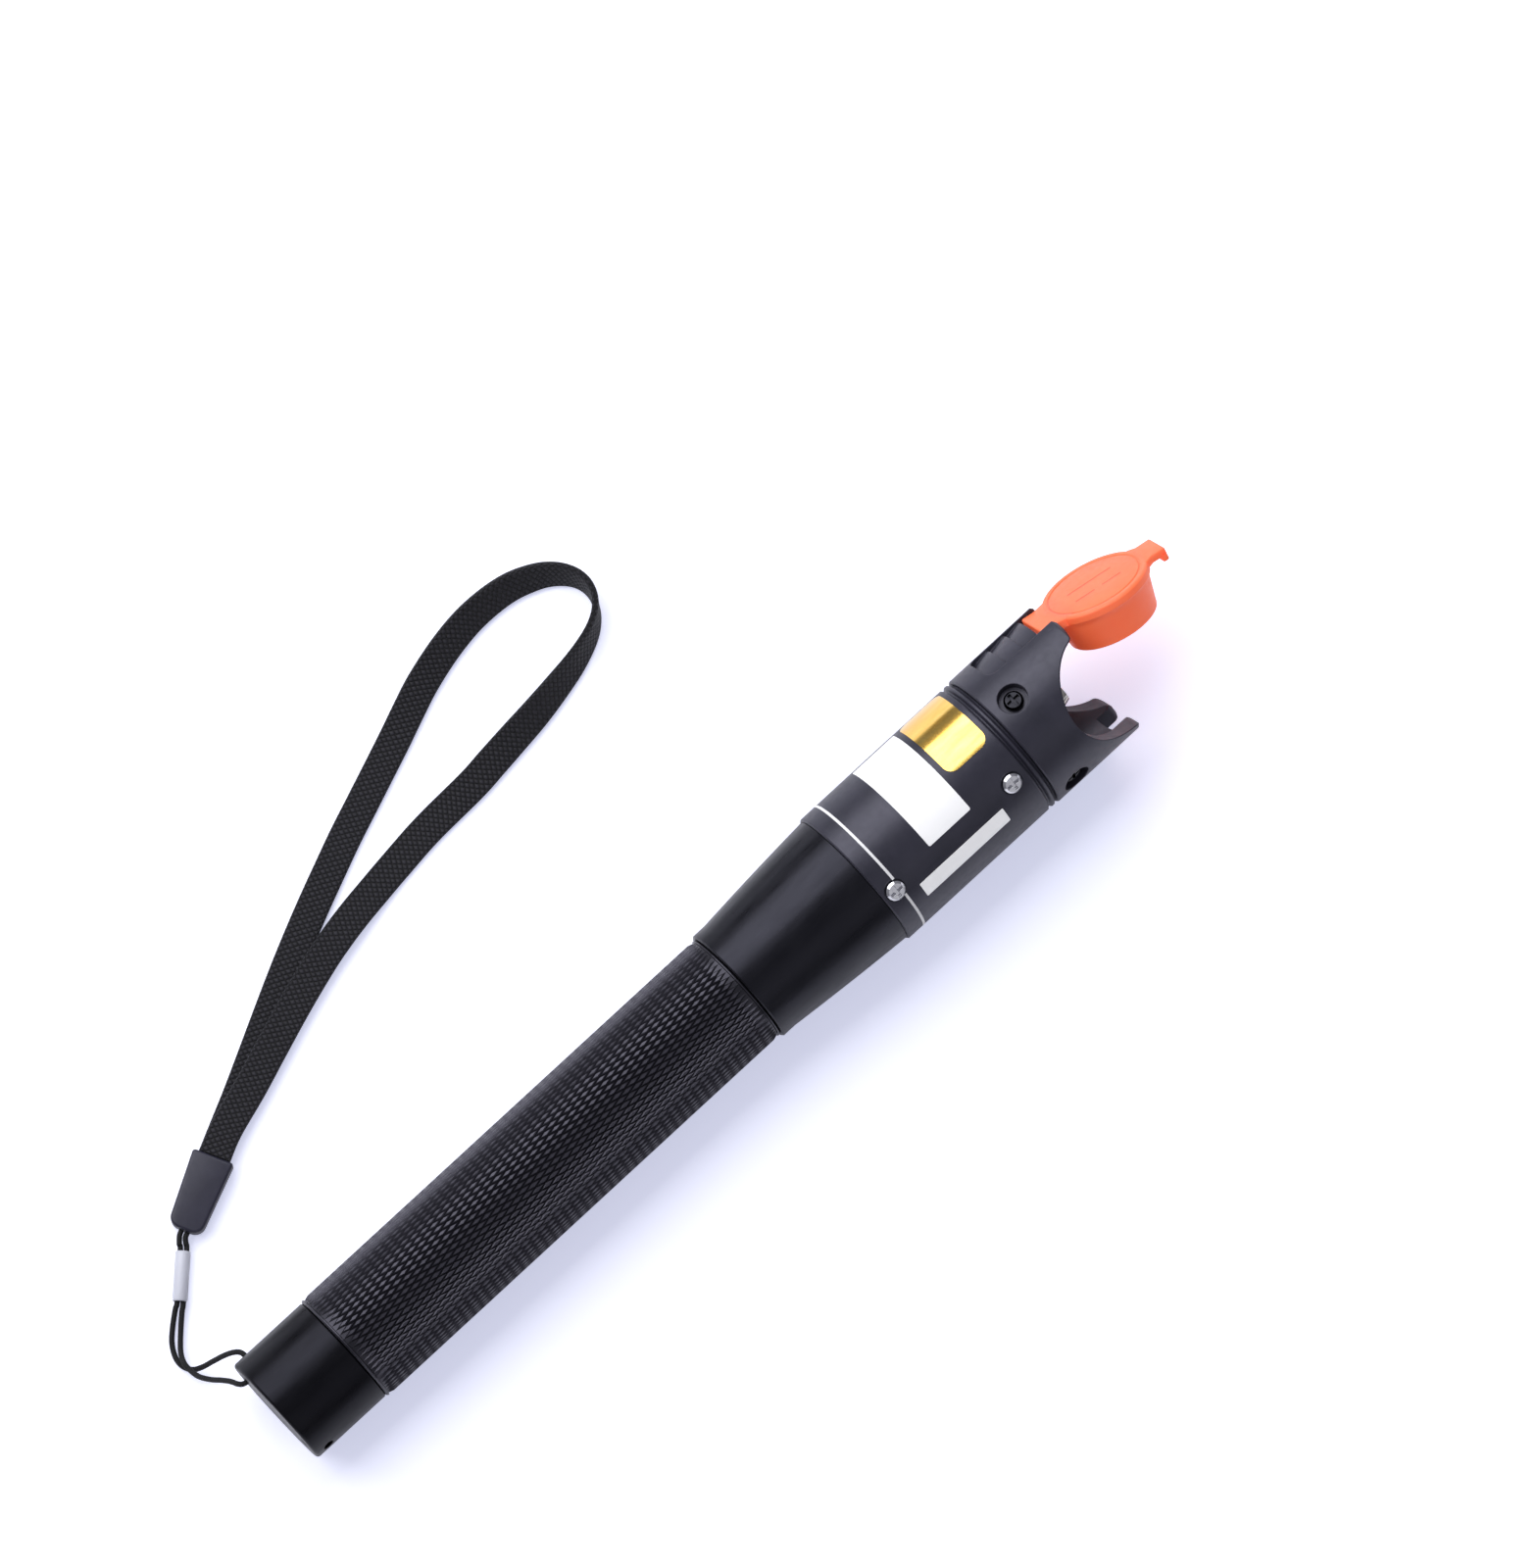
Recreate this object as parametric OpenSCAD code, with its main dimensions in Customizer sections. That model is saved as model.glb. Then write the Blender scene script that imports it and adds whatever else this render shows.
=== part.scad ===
// Visual fault locator pen with a flip dust cap and a wrist lanyard.
// The pen lies along X. The origin is the centre of the ferrule port's mouth, and +X points out of it.

/* [Lengths along the pen] */
// Length of the tail cap
tail_cap_len = 14.6; // [12.6:0.1:17]
// How much longer the two cells are together than the knurled grip
cells_past_grip = 16.3; // [15:0.1:17]
// Length of the tapered neck
neck_len = 25.2; // [23:0.1:28]
// Length of the front body
body_len = 30.7; // [29.5:0.1:36]
// Length of the collar between the front body and the head
collar_len = 1.8; // [1.4:0.1:2.4]
// Length of the head shroud
shroud_len = 18; // [17:0.1:20]
// How far the ferrule port's mouth lies behind the shroud's tips
port_back = 5.5; // [5:0.1:6]

/* [Diameters] */
// Outer diameter of the tail cap
tail_cap_d = 19.7; // [19.4:0.1:21]
// Outer diameter of the knurled grip
grip_d = 20.2; // [19.6:0.1:21]
// Diameter of the neck's rear rim
neck_rim_d = 21.3; // [20.6:0.1:22.2]
// How far the front body stands out past the neck's front end
neck_step = 0.4; // [0.2:0.1:0.6]
// Outer diameter of the front body
body_d = 25.5; // [25.3:0.1:26.5]
// How far the head shroud stands out past the front body
shroud_step = 0.15; // [0.1:0.05:0.3]

/* [Battery compartment] */
// Diameter of a cell
cell_d = 14.3; // [13.8:0.1:14.5]
// Length of a cell with its terminal
cell_len = 50.5; // [50:0.1:50.6]
// Diameter of the bore that holds the cells
cell_bore_d = 15; // [14.8:0.1:15.2]
// Diameter of the threaded spigots at both ends of the grip
spigot_d = 17.6; // [17.3:0.1:17.7]
// Length of the grip's rear spigot
rear_spigot_len = 9.3; // [8:0.1:10]
// Length of the grip's front spigot
front_spigot_len = 9; // [7:0.1:10]
// Thickness of the tail cap's end wall
end_wall = 4.4; // [4.2:0.1:5]
// Length that the tail spring fills
spring_len = 7.5; // [7:0.1:8]

/* [Lanyard eyes] */
// Diameter of the eye's holes in the tail cap
eye_d = 1.9; // [1.6:0.1:2.2]
// Distance of the end-face hole from the pen's axis
eye_ring_r = 6.9; // [6.5:0.1:7.2]
// Distance of the side hole from the tail cap's end
eye_depth = 2.6; // [2.4:0.1:2.8]

/* [Front body] */
// Wall of the front body
body_wall = 1.75; // [1.6:0.05:1.9]
// Diameter of the screw heads
screw_head_d = 3.3; // [3:0.1:3.6]
// Diameter of the screw shanks
screw_d = 1.9; // [1.7:0.1:2]
// Travel of the slide switch to each side of its middle place
switch_travel = 2; // [1.5:0.1:2.2]

/* [Head shroud] */
// Wall of the head shroud round its well
shroud_wall = 2.5; // [2.3:0.1:2.6]
// How much smaller than the well the round notches between the two prongs are
notch_inset = 0.8; // [0.6:0.1:1.4]
// Width of the slot that holds the hinge arm, and of the channel behind it
hinge_slot_w = 8.6; // [8:0.1:8.8]
// Width of the slot that takes the catch tab, and of the channel behind it
catch_slot_w = 6.6; // [6:0.1:7]
// Depth of both slots from the tips
slot_depth = 3.5; // [3.4:0.1:3.8]
// Radius of the rounded corners at the tips
tip_round = 1.4; // [1.4:0.1:1.6]
// Diameter of the recesses over the head's screws
recess_d = 5; // [4.4:0.1:5.6]

/* [Ferrule port] */
// Diameter of the ferrule that the port takes
ferrule_d = 2.5; // [2.4:0.05:2.6]
// Length of the ceramic ferrule sleeve
sleeve_len = 10.5; // [9:0.1:11]
// Outer diameter of the ceramic ferrule sleeve
sleeve_d = 3.3; // [3.1:0.1:3.5]
// Outer diameter of the barrel's thread
barrel_d = 7; // [6.6:0.1:7.4]

/* [Dust cap] */
// Gap between the dust cap's disc and the well
lid_room = 1.1; // [0.9:0.1:1.6]
// Depth of the dust cap from the disc's top to the cup's mouth
lid_depth = 7.6; // [7:0.1:9]
// How much smaller the cup's mouth is than its top, on the radius
lid_taper = 1.3; // [1:0.1:1.8]
// Wall of the cup
lid_wall = 1.2; // [0.8:0.1:1.4]
// How far the catch tab stays inside the head shroud's outer radius
tab_inset = 0.6; // [0.3:0.1:1.3]
// How far the dust cap stands open, from closed
lid_open = 80; // [0:1:170]
// Diameter of the hinge pin
hinge_pin_d = 1.2; // [1:0.1:1.3]

/* [Lanyard] */
// Diameter of the thin cord
cord_d = 0.9; // [0.8:0.05:0.95]
// Width of the woven strap
strap_w = 5.3; // [4.8:0.1:5.4]
// Thickness of the woven strap
strap_t = 1.1; // [0.9:0.05:1.1]
// Length of the crimp
crimp_len = 12.7; // [11:0.1:14]
// Width of the crimp at the strap's end
crimp_w = 6.9; // [6.2:0.1:7.6]
// Thickness of the crimp
crimp_t = 3.2; // [3:0.1:3.6]

/* [Hidden] */
$fn = 96;

// Overrun of every cut
overrun = 0.5;
// Gap between pieces that are pushed together
seat_gap = 0.05;
// Gap between pieces that slide or turn on each other
run_gap = 0.1;
// Small chamfer on turned edges
edge = 0.25;

// The grip follows the two cells in it
grip_len = 2 * cell_len - cells_past_grip;

// Places along the pen
x_tips = port_back;
x_shroud = x_tips - shroud_len;
x_body_front = x_shroud - collar_len;
x_seam = x_body_front - body_len;
x_neck = x_seam - neck_len;
x_grip = x_neck - grip_len;
x_tail = x_grip - tail_cap_len;

// Radii
tail_cap_r = tail_cap_d / 2;
grip_r = grip_d / 2;
neck_rim_r = neck_rim_d / 2;
body_r = body_d / 2;
body_bore_r = body_r - body_wall;
neck_front_r = body_r - neck_step;
shroud_r = body_r + shroud_step;
well_r = shroud_r - shroud_wall;
notch_r = well_r - notch_inset;
cell_bore_r = cell_bore_d / 2;
spigot_r = spigot_d / 2;

// Angles round the pen, from +Z towards +Y
prong_angle = 57;
notch_angle = prong_angle - 90;
switch_angle = -140;
eye_angle = 100;

// Battery stack
tail_round = 0.6;
contact_t = 0.4;
tail_contact_r = 6.5;
x_spring = x_tail + end_wall + contact_t;
x_cells = x_spring + spring_len;
x_cells_end = x_cells + 2 * cell_len;
terminal_d = 5.5;
terminal_len = 1;
cell_round = 0.6;

// Tail spring
spring_wire_d = 0.8;
spring_big_r = 5.6;
spring_small_r = 3.6;
spring_turns = 5;
spring_rings_per_turn = 8;
spring_sides = 6;

// Seals
seal_d = 0.75;
seal_groove_w = 1.3;
seal_back = 2.2;

// Neck
neck_bulge = 0.1;
neck_land = 2.6;
neck_steps = 8;
neck_spigot_len = 6;
neck_pocket_r = 8.6;
front_contact_t = 0.6;
contact_block_t = 4;
board_seat_depth = 1;

// Driver board and switch, in a frame whose +Z points to the switch
board_w = 13;
board_t = 1;
board_z = 1.3;
board_front_gap = 0.4;
chip_size = [4.4, 3.6, 1.1];
chip_pitch = 6;
chip_count = 3;
switch_l = 12;
switch_w = 6;
switch_share = 0.41;
switch_back = -x_seam - body_len * switch_share;
switch_under_bore = 2.8;
switch_top = body_bore_r - switch_under_bore;
lever_w = 2;
lever_under_bore = 0.6;
lever_h = 3.3;
lever_top = body_bore_r - lever_under_bore;
lever_bottom = lever_top - lever_h;
knob_stem_l = 4.6;
knob_stem_w = 3.4;
knob_under_bore = 2.4;
knob_bottom = body_bore_r - knob_under_bore;
knob_l = 9;
knob_w = 6.2;
knob_t = 1.5;
knob_rib_t = 0.5;
knob_rib_w = 0.7;
knob_rib_pitch = 1.5;
knob_rib_count = 5;
switch_recess = 0.75;
switch_floor = body_r - switch_recess;
switch_window_gap = 0.2;
switch_recess_gap = 0.3;

// Collar
collar_groove = 0.55;
collar_bead_share = 0.2;
collar_root_share = 0.32;

// Laser block and optics
block_share = 0.25;
block_rear = x_body_front - body_len * block_share;
diode_bore_r = 2.9;
diode_bore_len = 3.6;
diode_flange_r = 2.8;
diode_flange_t = 1.2;
diode_can_r = 2.3;
diode_can_len = 2.1;
lead_r = 0.22;
lead_ring_r = 1;
lead_len = 2.6;
beam_r = 0.8;
beam_hole_r = 1.8;
beam_hole_len = 1.4;
lens_r = 2;
lens_t = 1.9;
lens_dome_r = 3.4;
lens_seat_len = 2.4;
block_front_gap = seat_gap;

// Screws
body_screw_inset = 3.1;
rear_screw_inset = 2.4;
screw_seat_depth = 0.4;
screw_head_t = 1;
screw_cross_w = 0.55;
screw_cross_depth = 0.6;
screw_len = 3.4;
screw_crown = 0.35;
screw_cross_share = 0.7;
spot_gap = 0.2;
shroud_screw_inset = 4.2;
shroud_screw_x = x_shroud + shroud_screw_inset;
shroud_screw_sink = 1.8;
shroud_screw_seat = shroud_r - shroud_screw_sink;

// Head shroud
web_t = 1.2;
web_back = 10.5;
x_web = x_tips - web_back;
notch_past_tips = 0.5;
shroud_edge = 0.5;
channel_back = 14;
channel_step_share = [0, 0.36, 0.7, 1];
channel_deep = 0.95;
channel_shallow = 0.4;
channel_corner = 2;
cut_from = 6;
hinge_ear_round = 0.6;
catch_ear_round = 1.4;

// Port barrel and its nut
barrel_back = 8.5;
barrel_neck_r = 3.2;
barrel_neck_len = 2.5;
barrel_tip_r = 2.4;
barrel_tip_cone = 1.2;
barrel_mouth_r = 2.05;
nut_r = 4.8;
nut_t = 1.1;
nut_slot_w = 1.2;
nut_slot_depth = 0.8;

// Dust cap, in a frame whose +Z points to the hinge prong
pin_back = 1.7;
pin_hold = 1;
pin_depth = 1.9;
pin_r = shroud_r - pin_depth;
x_pin = x_tips - pin_back;
pin_half = hinge_slot_w / 2 + pin_hold;
lid_top = 0.7;
lid_r = well_r - lid_room;
lid_disc_t = 1.4;
lid_round = 0.5;
lid_shelf = 0.4;
lid_top_wall = 1.8;
lid_groove_inset = 2.1;
lid_groove_r = lid_r - lid_groove_inset;
lid_groove_half_w = 0.25;
lid_groove_depth = 0.25;
arm_side_gap = 0.25;
arm_t = 1.6;
arm_end = 1.25;
tab_t = 1.3;
arm_overlap = 1.7;
tab_overlap = 1.1;
tab_reach = shroud_r - tab_inset;
arm_root = lid_r - arm_overlap;
tab_root = lid_r - tab_overlap;
catch_t = 1;
catch_depth = 2.3;

// Bench that the pen and the lanyard lie on
bench_slope = (body_r - tail_cap_r) / (x_seam - x_tail);
bench_tilt = atan(bench_slope);
function bench(x) = -body_r + (x_seam - x) * bench_slope;

// Crimp, from its middle
crimp_x = -154.6;
crimp_y = 34.9;
crimp_angle = 26;
crimp_narrow_w = 5.8;
crimp_corner_r = 1.8;
crimp_top_r = 0.5;

// Sleeve on the cord
tube_from = [-162.6, 29.9];
tube_to = [-168.4, 24.3];
tube_d = 2.5;
tube_bore_d = 2.06;

// Thin cord: x, y and the height of its centre over the bench
cord_route = [
    [-160.5, 32.5, 1.6], [-161.3, 32.1, 1.6], [-162.3, 31.1, 1.4], [-162.9, 30.2, 1.25],
    [-168.7, 24.6, 1.25], [-169.6, 24, 1.1], [-171.9, 22.2, 0.6], [-173.8, 20.3, 0.5],
    [-174.9, 18.2, 0.5], [-175, 16.4, 0.55], [-174.2, 14.9, 1.1], [-172.8, 14, 2.4],
    [-171, 13.3, 4.3], [-169.3, 12.6, 6.1], [-167.9, 11.8, 7.5], [-167, 10.8, 8],
    [-166.9, 9, 8.3], [-166.95, 7.4, 8.58], [-167.5, 6.8, 8.68], [-168.4, 6.8, 8.68],
    [-169.9, 6.8, 8.68], [-170.7, 7.4, 8.3], [-171.3, 8.7, 7.3], [-172.2, 10, 6],
    [-173.3, 11.4, 4.4], [-174.3, 13.2, 3], [-174.6, 15, 2.15], [-174.5, 16.6, 1.9],
    [-173.6, 18.4, 1.2], [-171.6, 20.6, 1], [-169.2, 22.9, 1.25], [-168, 23.9, 1.25],
    [-162.2, 29.5, 1.25], [-161.5, 30.4, 1.4], [-160.9, 31.2, 1.6], [-160.1, 31.6, 1.6]];

// Woven strap: x, y, roll about its own length, and lift over lying flat on the bench
strap_route = [
    [-148.7, 37.8, 0, 0.5], [-144.4, 39.9, 0, 0.35], [-139.5, 42.3, 0, 0], [-134, 45.1, 0, 0],
    [-128, 48.2, 0, 0], [-122.5, 51, 0, 0], [-117, 53.7, 0, 0], [-110.5, 56.7, 0, 0],
    [-104, 59.5, 0, 0], [-98.5, 61.8, 0, 0], [-93, 63.9, 0, 0], [-87.5, 66, 0, 0],
    [-82, 68.1, 4, 0], [-77.5, 69.9, 9, 0], [-73, 71.6, 15, 0], [-68, 73, 22, 0],
    [-63.5, 73.9, 26, 0], [-59.5, 74.3, 31, 0], [-55.5, 74.2, 36, 0], [-52, 73.7, 41, 0],
    [-49, 72.7, 47, 0], [-46.3, 71.3, 55, 0], [-44.2, 69.4, 63, 0], [-42.9, 67.2, 72, 0],
    [-42.6, 64.8, 81, 0], [-43.4, 62.4, 90, 0], [-45.2, 60.4, 99, 0], [-48, 58.8, 109, 0],
    [-52.5, 57.4, 122, 0], [-58, 56.4, 136, 0], [-63, 55.7, 148, 0], [-68, 55.2, 158, 0],
    [-73, 54.7, 167, 0], [-78, 54.2, 174, 0], [-88, 53.8, 180, 0], [-96, 52.9, 180, 0],
    [-101, 52.2, 180, 0.3], [-106, 51.4, 180, 0.9], [-110.5, 50.5, 180, 1.2],
    [-115, 49.4, 180, 1.2], [-122.5, 47.1, 180, 1.2], [-130, 44.5, 180, 1.2],
    [-137, 42, 180, 1.25], [-144.4, 39.6, 180, 1.55], [-148.7, 37.6, 180, 1.7]];
strap_corner = 0.3;

// Turned solid about the pen's axis, from points of radius and x
module turned(points) {
    rotate([0, 90, 0]) rotate_extrude() polygon(points);
}

// Rod along the pen's axis
module rod(r, from_x, to_x) {
    translate([from_x, 0, 0]) rotate([0, 90, 0]) cylinder(r = r, h = to_x - from_x);
}

// Turns its children so that +Z points at an angle round the pen
module around(angle) {
    rotate([-angle, 0, 0]) children();
}

// Block from one corner to the other
module block(low, high) {
    translate(low) cube(high - low);
}

// Points of an arc
function arc(centre, r, from_a, to_a, steps) =
    [for (i = [0:steps]) centre + r * [cos(from_a + (to_a - from_a) * i / steps),
                                       sin(from_a + (to_a - from_a) * i / steps)]];

// Ring seal about the pen's axis
module seal(mean_r, x) {
    translate([x, 0, 0]) rotate([0, 90, 0]) rotate_extrude()
        translate([mean_r, 0]) circle(d = seal_d, $fn = 32);
}

// Tube through rings of points, closed at both ends
module skin(rings) {
    n = len(rings[0]);
    last = len(rings) - 1;
    points = [for (ring = rings) for (p = ring) p];
    sides = [for (i = [0:last - 1]) for (j = [0:n - 1])
        let (a = i * n + j, b = i * n + (j + 1) % n, c = a + n, d = b + n)
        each [[a, c, b], [b, c, d]]];
    start = [for (j = [1:n - 2]) [0, j, j + 1]];
    end = [for (j = [1:n - 2]) [last * n, last * n + j + 1, last * n + j]];
    polyhedron(points = points, faces = concat(sides, start, end));
}

// Direction of a path at one of its points
function heading(path, i) =
    let (a = path[max(i - 1, 0)], b = path[min(i + 1, len(path) - 1)]) (b - a) / norm(b - a);
// Level direction across a heading
function across(t) = let (s = cross([0, 0, 1], t)) s / norm(s);
function rolled(t, roll) = across(t) * cos(roll) + cross(t, across(t)) * sin(roll);
// Rings of a section swept along a path, with a roll at each point
function swept(path, rolls, section) =
    [for (i = [0:len(path) - 1])
        let (t = heading(path, i), w = rolled(t, rolls[i]), u = cross(t, w))
        [for (q = section) path[i] + w * q[0] + u * q[1]]];
function round_section(r, sides) = [for (k = [0:sides - 1]) r * [cos(360 * k / sides),
    -sin(360 * k / sides)]];

// Outside of the tail cap with its rounded rear rim
module tail_cap_body() {
    turned(concat([[0, x_tail]],
        arc([tail_cap_r - tail_round, x_tail + tail_round], tail_round, -90, 0, 6),
        [[tail_cap_r, x_grip - edge], [tail_cap_r - edge, x_grip], [0, x_grip]]));
}

// Lanyard eye: a hole in the end face that meets a hole in the side
module eye(angle) {
    around(angle) {
        translate([0, 0, eye_ring_r]) rod(eye_d / 2, x_tail - overrun, x_tail + eye_depth);
        translate([x_tail + eye_depth, 0, eye_ring_r]) {
            sphere(d = eye_d);
            cylinder(d = eye_d, h = tail_cap_r);
        }
    }
}

module tail_cap() {
    color("#17171a") difference() {
        tail_cap_body();
        rod(spigot_r + run_gap, x_tail + end_wall, x_grip + overrun);
        eye(eye_angle);
        eye(eye_angle + 180);
    }
}

module tail_contact() {
    color("#c9a24a") rod(tail_contact_r, x_tail + end_wall, x_spring);
}

// Conical spring, wide at the tail cap and narrow at the cell
spring_path = [for (i = [0:spring_turns * spring_rings_per_turn])
    let (s = i / (spring_turns * spring_rings_per_turn), a = 360 * i / spring_rings_per_turn,
         r = spring_big_r + (spring_small_r - spring_big_r) * s, inset = spring_wire_d / 2 + seat_gap)
    [x_spring + inset + (spring_len - 2 * inset) * s, r * cos(a), r * sin(a)]];
spring_gap = min([for (i = [0:len(spring_path) - 1 - spring_rings_per_turn])
    norm(spring_path[i + spring_rings_per_turn] - spring_path[i])]) - spring_wire_d;

module tail_spring() {
    echo(spring_turn_gap = spring_gap);
    rings = [for (i = [0:len(spring_path) - 1])
        let (t = heading(spring_path, i), p = spring_path[i], out = [0, p[1], p[2]] / norm([0, p[1],
            p[2]]),
             w = cross(t, cross(out, t)), u = cross(t, w))
        [for (q = round_section(spring_wire_d / 2, spring_sides)) p + w * q[0] / norm(w)
            + u * q[1] / norm(u)]];
    color("#b9bcc0") skin(rings);
}

module tail_o_ring() {
    color("#202020") seal(spigot_r - seal_d / 2, x_grip - seal_back);
}

// Threaded tube that holds the cells, with a spigot at each end
module battery_tube() {
    rear = x_grip - rear_spigot_len;
    front = x_neck + front_spigot_len;
    color("#1b1b1d") difference() {
        turned([[cell_bore_r, rear], [spigot_r - edge, rear], [spigot_r, rear + edge], [spigot_r,
            x_grip + seat_gap],
            [grip_r - edge, x_grip + seat_gap], [grip_r, x_grip + seat_gap + edge],
            [grip_r, x_neck - seat_gap - edge], [grip_r - edge, x_neck - seat_gap],
            [spigot_r, x_neck - seat_gap], [spigot_r, front - edge], [spigot_r - edge, front],
            [cell_bore_r, front]]);
        seal_groove(x_grip - seal_back);
        seal_groove(x_neck + seal_back);
    }
}

module seal_groove(x) {
    difference() {
        rod(spigot_r + overrun, x - seal_groove_w / 2, x + seal_groove_w / 2);
        rod(spigot_r - seal_d - seat_gap / 2, x - seal_groove_w, x + seal_groove_w);
    }
}

// Cell with its terminal at the front
module cell(x) {
    shoulder = x + cell_len - terminal_len;
    turned([[0, x], [cell_d / 2 - cell_round, x], [cell_d / 2, x + cell_round],
        [cell_d / 2, shoulder - cell_round], [cell_d / 2 - cell_round, shoulder],
        [terminal_d / 2, shoulder], [terminal_d / 2, x + cell_len], [0, x + cell_len]]);
}

module battery_rear() {
    color("#3f6f4a") cell(x_cells);
}

module battery_front() {
    color("#3f6f4a") cell(x_cells + cell_len);
}

module front_o_ring() {
    color("#202020") seal(spigot_r - seal_d / 2, x_neck + seal_back);
}

// Radius of the neck's bulged taper, from 0 at its rear land to 1 at the front body
function neck_r(s) = neck_rim_r + (neck_front_r - neck_rim_r) * s + 4 * neck_bulge * s * (1 - s);

module neck_cone() {
    land = x_neck + neck_land;
    spigot_front = x_seam + neck_spigot_len;
    outer = concat([[neck_rim_r - edge, x_neck], [neck_rim_r, x_neck + edge]],
        [for (i = [0:neck_steps]) [neck_r(i / neck_steps), land + (x_seam - seat_gap - land)
            * i / neck_steps]],
        [[body_bore_r - seat_gap, x_seam - seat_gap], [body_bore_r - seat_gap, spigot_front]]);
    color("#141416") difference() {
        turned(concat([[0, x_neck]], outer, [[0, spigot_front]]));
        rod(spigot_r + seat_gap, x_neck - overrun, x_neck + front_spigot_len + seat_gap);
        rod(cell_bore_r, x_neck, spigot_front + overrun);
        rod(neck_pocket_r, x_cells_end, spigot_front + overrun);
        body_screw_holes();
    }
}

module front_contact() {
    color("#c9a24a") rod(neck_pocket_r - seat_gap, x_cells_end, x_cells_end + front_contact_t);
}

// Insulating block that presses the contact home and holds the board's rear edge
x_block_front = x_cells_end + front_contact_t + contact_block_t;
module contact_block() {
    color("#d8d4c6") difference() {
        rod(neck_pocket_r - seat_gap, x_cells_end + front_contact_t, x_block_front);
        around(switch_angle) block(
            [x_block_front - board_seat_depth, -board_w / 2 - seat_gap, board_z - seat_gap],
            [x_block_front + overrun, board_w / 2 + seat_gap, board_z + board_t + seat_gap]);
    }
}

// Driver board with its chips on the side away from the switch
module driver_board() {
    color("#1f5f3a") around(switch_angle) {
        block([x_block_front - board_seat_depth + seat_gap, -board_w / 2, board_z],
            [block_rear - board_front_gap, board_w / 2, board_z + board_t]);
        for (i = [0:chip_count - 1])
            translate([x_block_front + chip_pitch * (i + 1) - chip_size[0] / 2, -chip_size[1] / 2,
                board_z - chip_size[2]])
                cube(chip_size);
    }
}

module slide_switch() {
    color("#a8abb0") around(switch_angle) difference() {
        block([-switch_back - switch_l / 2, -switch_w / 2, board_z + board_t],
            [-switch_back + switch_l / 2, switch_w / 2, switch_top]);
        block([-switch_back - lever_w / 2 - switch_travel - run_gap, -lever_w / 2 - run_gap,
            lever_bottom - run_gap],
            [-switch_back + lever_w / 2 + switch_travel + run_gap, lever_w / 2 + run_gap,
                switch_top + overrun]);
    }
}

module switch_lever() {
    color("#e6e3da") around(switch_angle)
        block([-switch_back - lever_w / 2, -lever_w / 2, lever_bottom],
            [-switch_back + lever_w / 2, lever_w / 2, lever_top]);
}

// Ribbed knob that slides in the front body's window
module switch_knob() {
    low = switch_floor + run_gap / 2;
    color("#1d1d20") around(switch_angle) translate([-switch_back, 0, 0]) difference() {
        union() {
            block([-knob_stem_l / 2, -knob_stem_w / 2, knob_bottom], [knob_stem_l / 2, knob_stem_w / 2,
                low + knob_t / 2]);
            block([-knob_l / 2, -knob_w / 2, low], [knob_l / 2, knob_w / 2, low + knob_t - knob_rib_t]);
            for (i = [0:knob_rib_count - 1])
                translate([(i - (knob_rib_count - 1) / 2) * knob_rib_pitch - knob_rib_w / 2,
                    -knob_w / 2, low])
                    cube([knob_rib_w, knob_w, knob_t]);
        }
        block([-lever_w / 2 - seat_gap, -lever_w / 2 - seat_gap, knob_bottom - overrun],
            [lever_w / 2 + seat_gap, lever_w / 2 + seat_gap, lever_top + seat_gap]);
    }
}

// Laser diode in its can, with three leads to the board
x_diode_seat = block_rear + diode_bore_len;
module laser_diode() {
    flange_back = x_diode_seat - diode_can_len - diode_flange_t;
    color("#b79a58") {
        rod(diode_flange_r, flange_back, flange_back + diode_flange_t);
        rod(diode_can_r, flange_back + diode_flange_t / 2, x_diode_seat);
        for (a = [0, 120, 240])
            around(switch_angle + a) translate([0, 0, lead_ring_r]) rod(lead_r, flange_back - lead_len,
                flange_back + diode_flange_t / 2);
    }
}

// Plano-convex lens
x_lens = x_diode_seat + beam_hole_len;
module lens() {
    color("#cfe4ee") intersection() {
        rod(lens_r, x_lens, x_lens + lens_t);
        translate([x_lens + lens_t - lens_dome_r, 0, 0]) sphere(r = lens_dome_r);
    }
}

x_lens_ring = x_lens + lens_seat_len;
lens_ring_t = -sleeve_len - seat_gap - x_lens_ring;
module lens_ring() {
    color("#c9a24a") difference() {
        rod(barrel_d / 2, x_lens_ring, x_lens_ring + lens_ring_t);
        rod(beam_r, x_lens_ring - overrun, x_lens_ring + lens_ring_t + overrun);
    }
}

// Core of the head: it carries the optics and the port, and the front body and shroud are screwed to it
module laser_block() {
    step_x = x_body_front + seat_gap;
    front = x_web - web_t - block_front_gap;
    color("#2c2c30") difference() {
        turned([[0, block_rear], [body_bore_r - seat_gap, block_rear], [body_bore_r - seat_gap,
            step_x - seat_gap * 2],
            [well_r - seat_gap, step_x - seat_gap * 2], [well_r - seat_gap, front], [0, front]]);
        rod(diode_bore_r, block_rear - overrun, x_diode_seat);
        rod(beam_hole_r, x_diode_seat - overrun, x_lens + overrun);
        rod(lens_r + seat_gap, x_lens, x_lens_ring + overrun);
        rod(barrel_d / 2 + seat_gap, x_lens_ring, front + overrun);
        body_screw_holes();
        for (i = [0:3]) around(notch_angle + 45 + 90 * i)
            translate([shroud_screw_x, 0, shroud_screw_seat - screw_len - seat_gap])
                cylinder(d = screw_d + 2 * seat_gap, h = shroud_r);
    }
}

// Places of the front body's screws: a front and a rear one on each side
body_screw_x = [x_body_front - body_screw_inset, x_seam + rear_screw_inset];
module at_body_screws() {
    for (x = body_screw_x) for (side = [0, 180])
        around(notch_angle + side) translate([x, 0, 0]) children();
}

module body_screw_holes() {
    at_body_screws() translate([0, 0, body_r - screw_seat_depth - screw_len - seat_gap])
        cylinder(d = screw_d + 2 * seat_gap, h = body_r);
}

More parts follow.
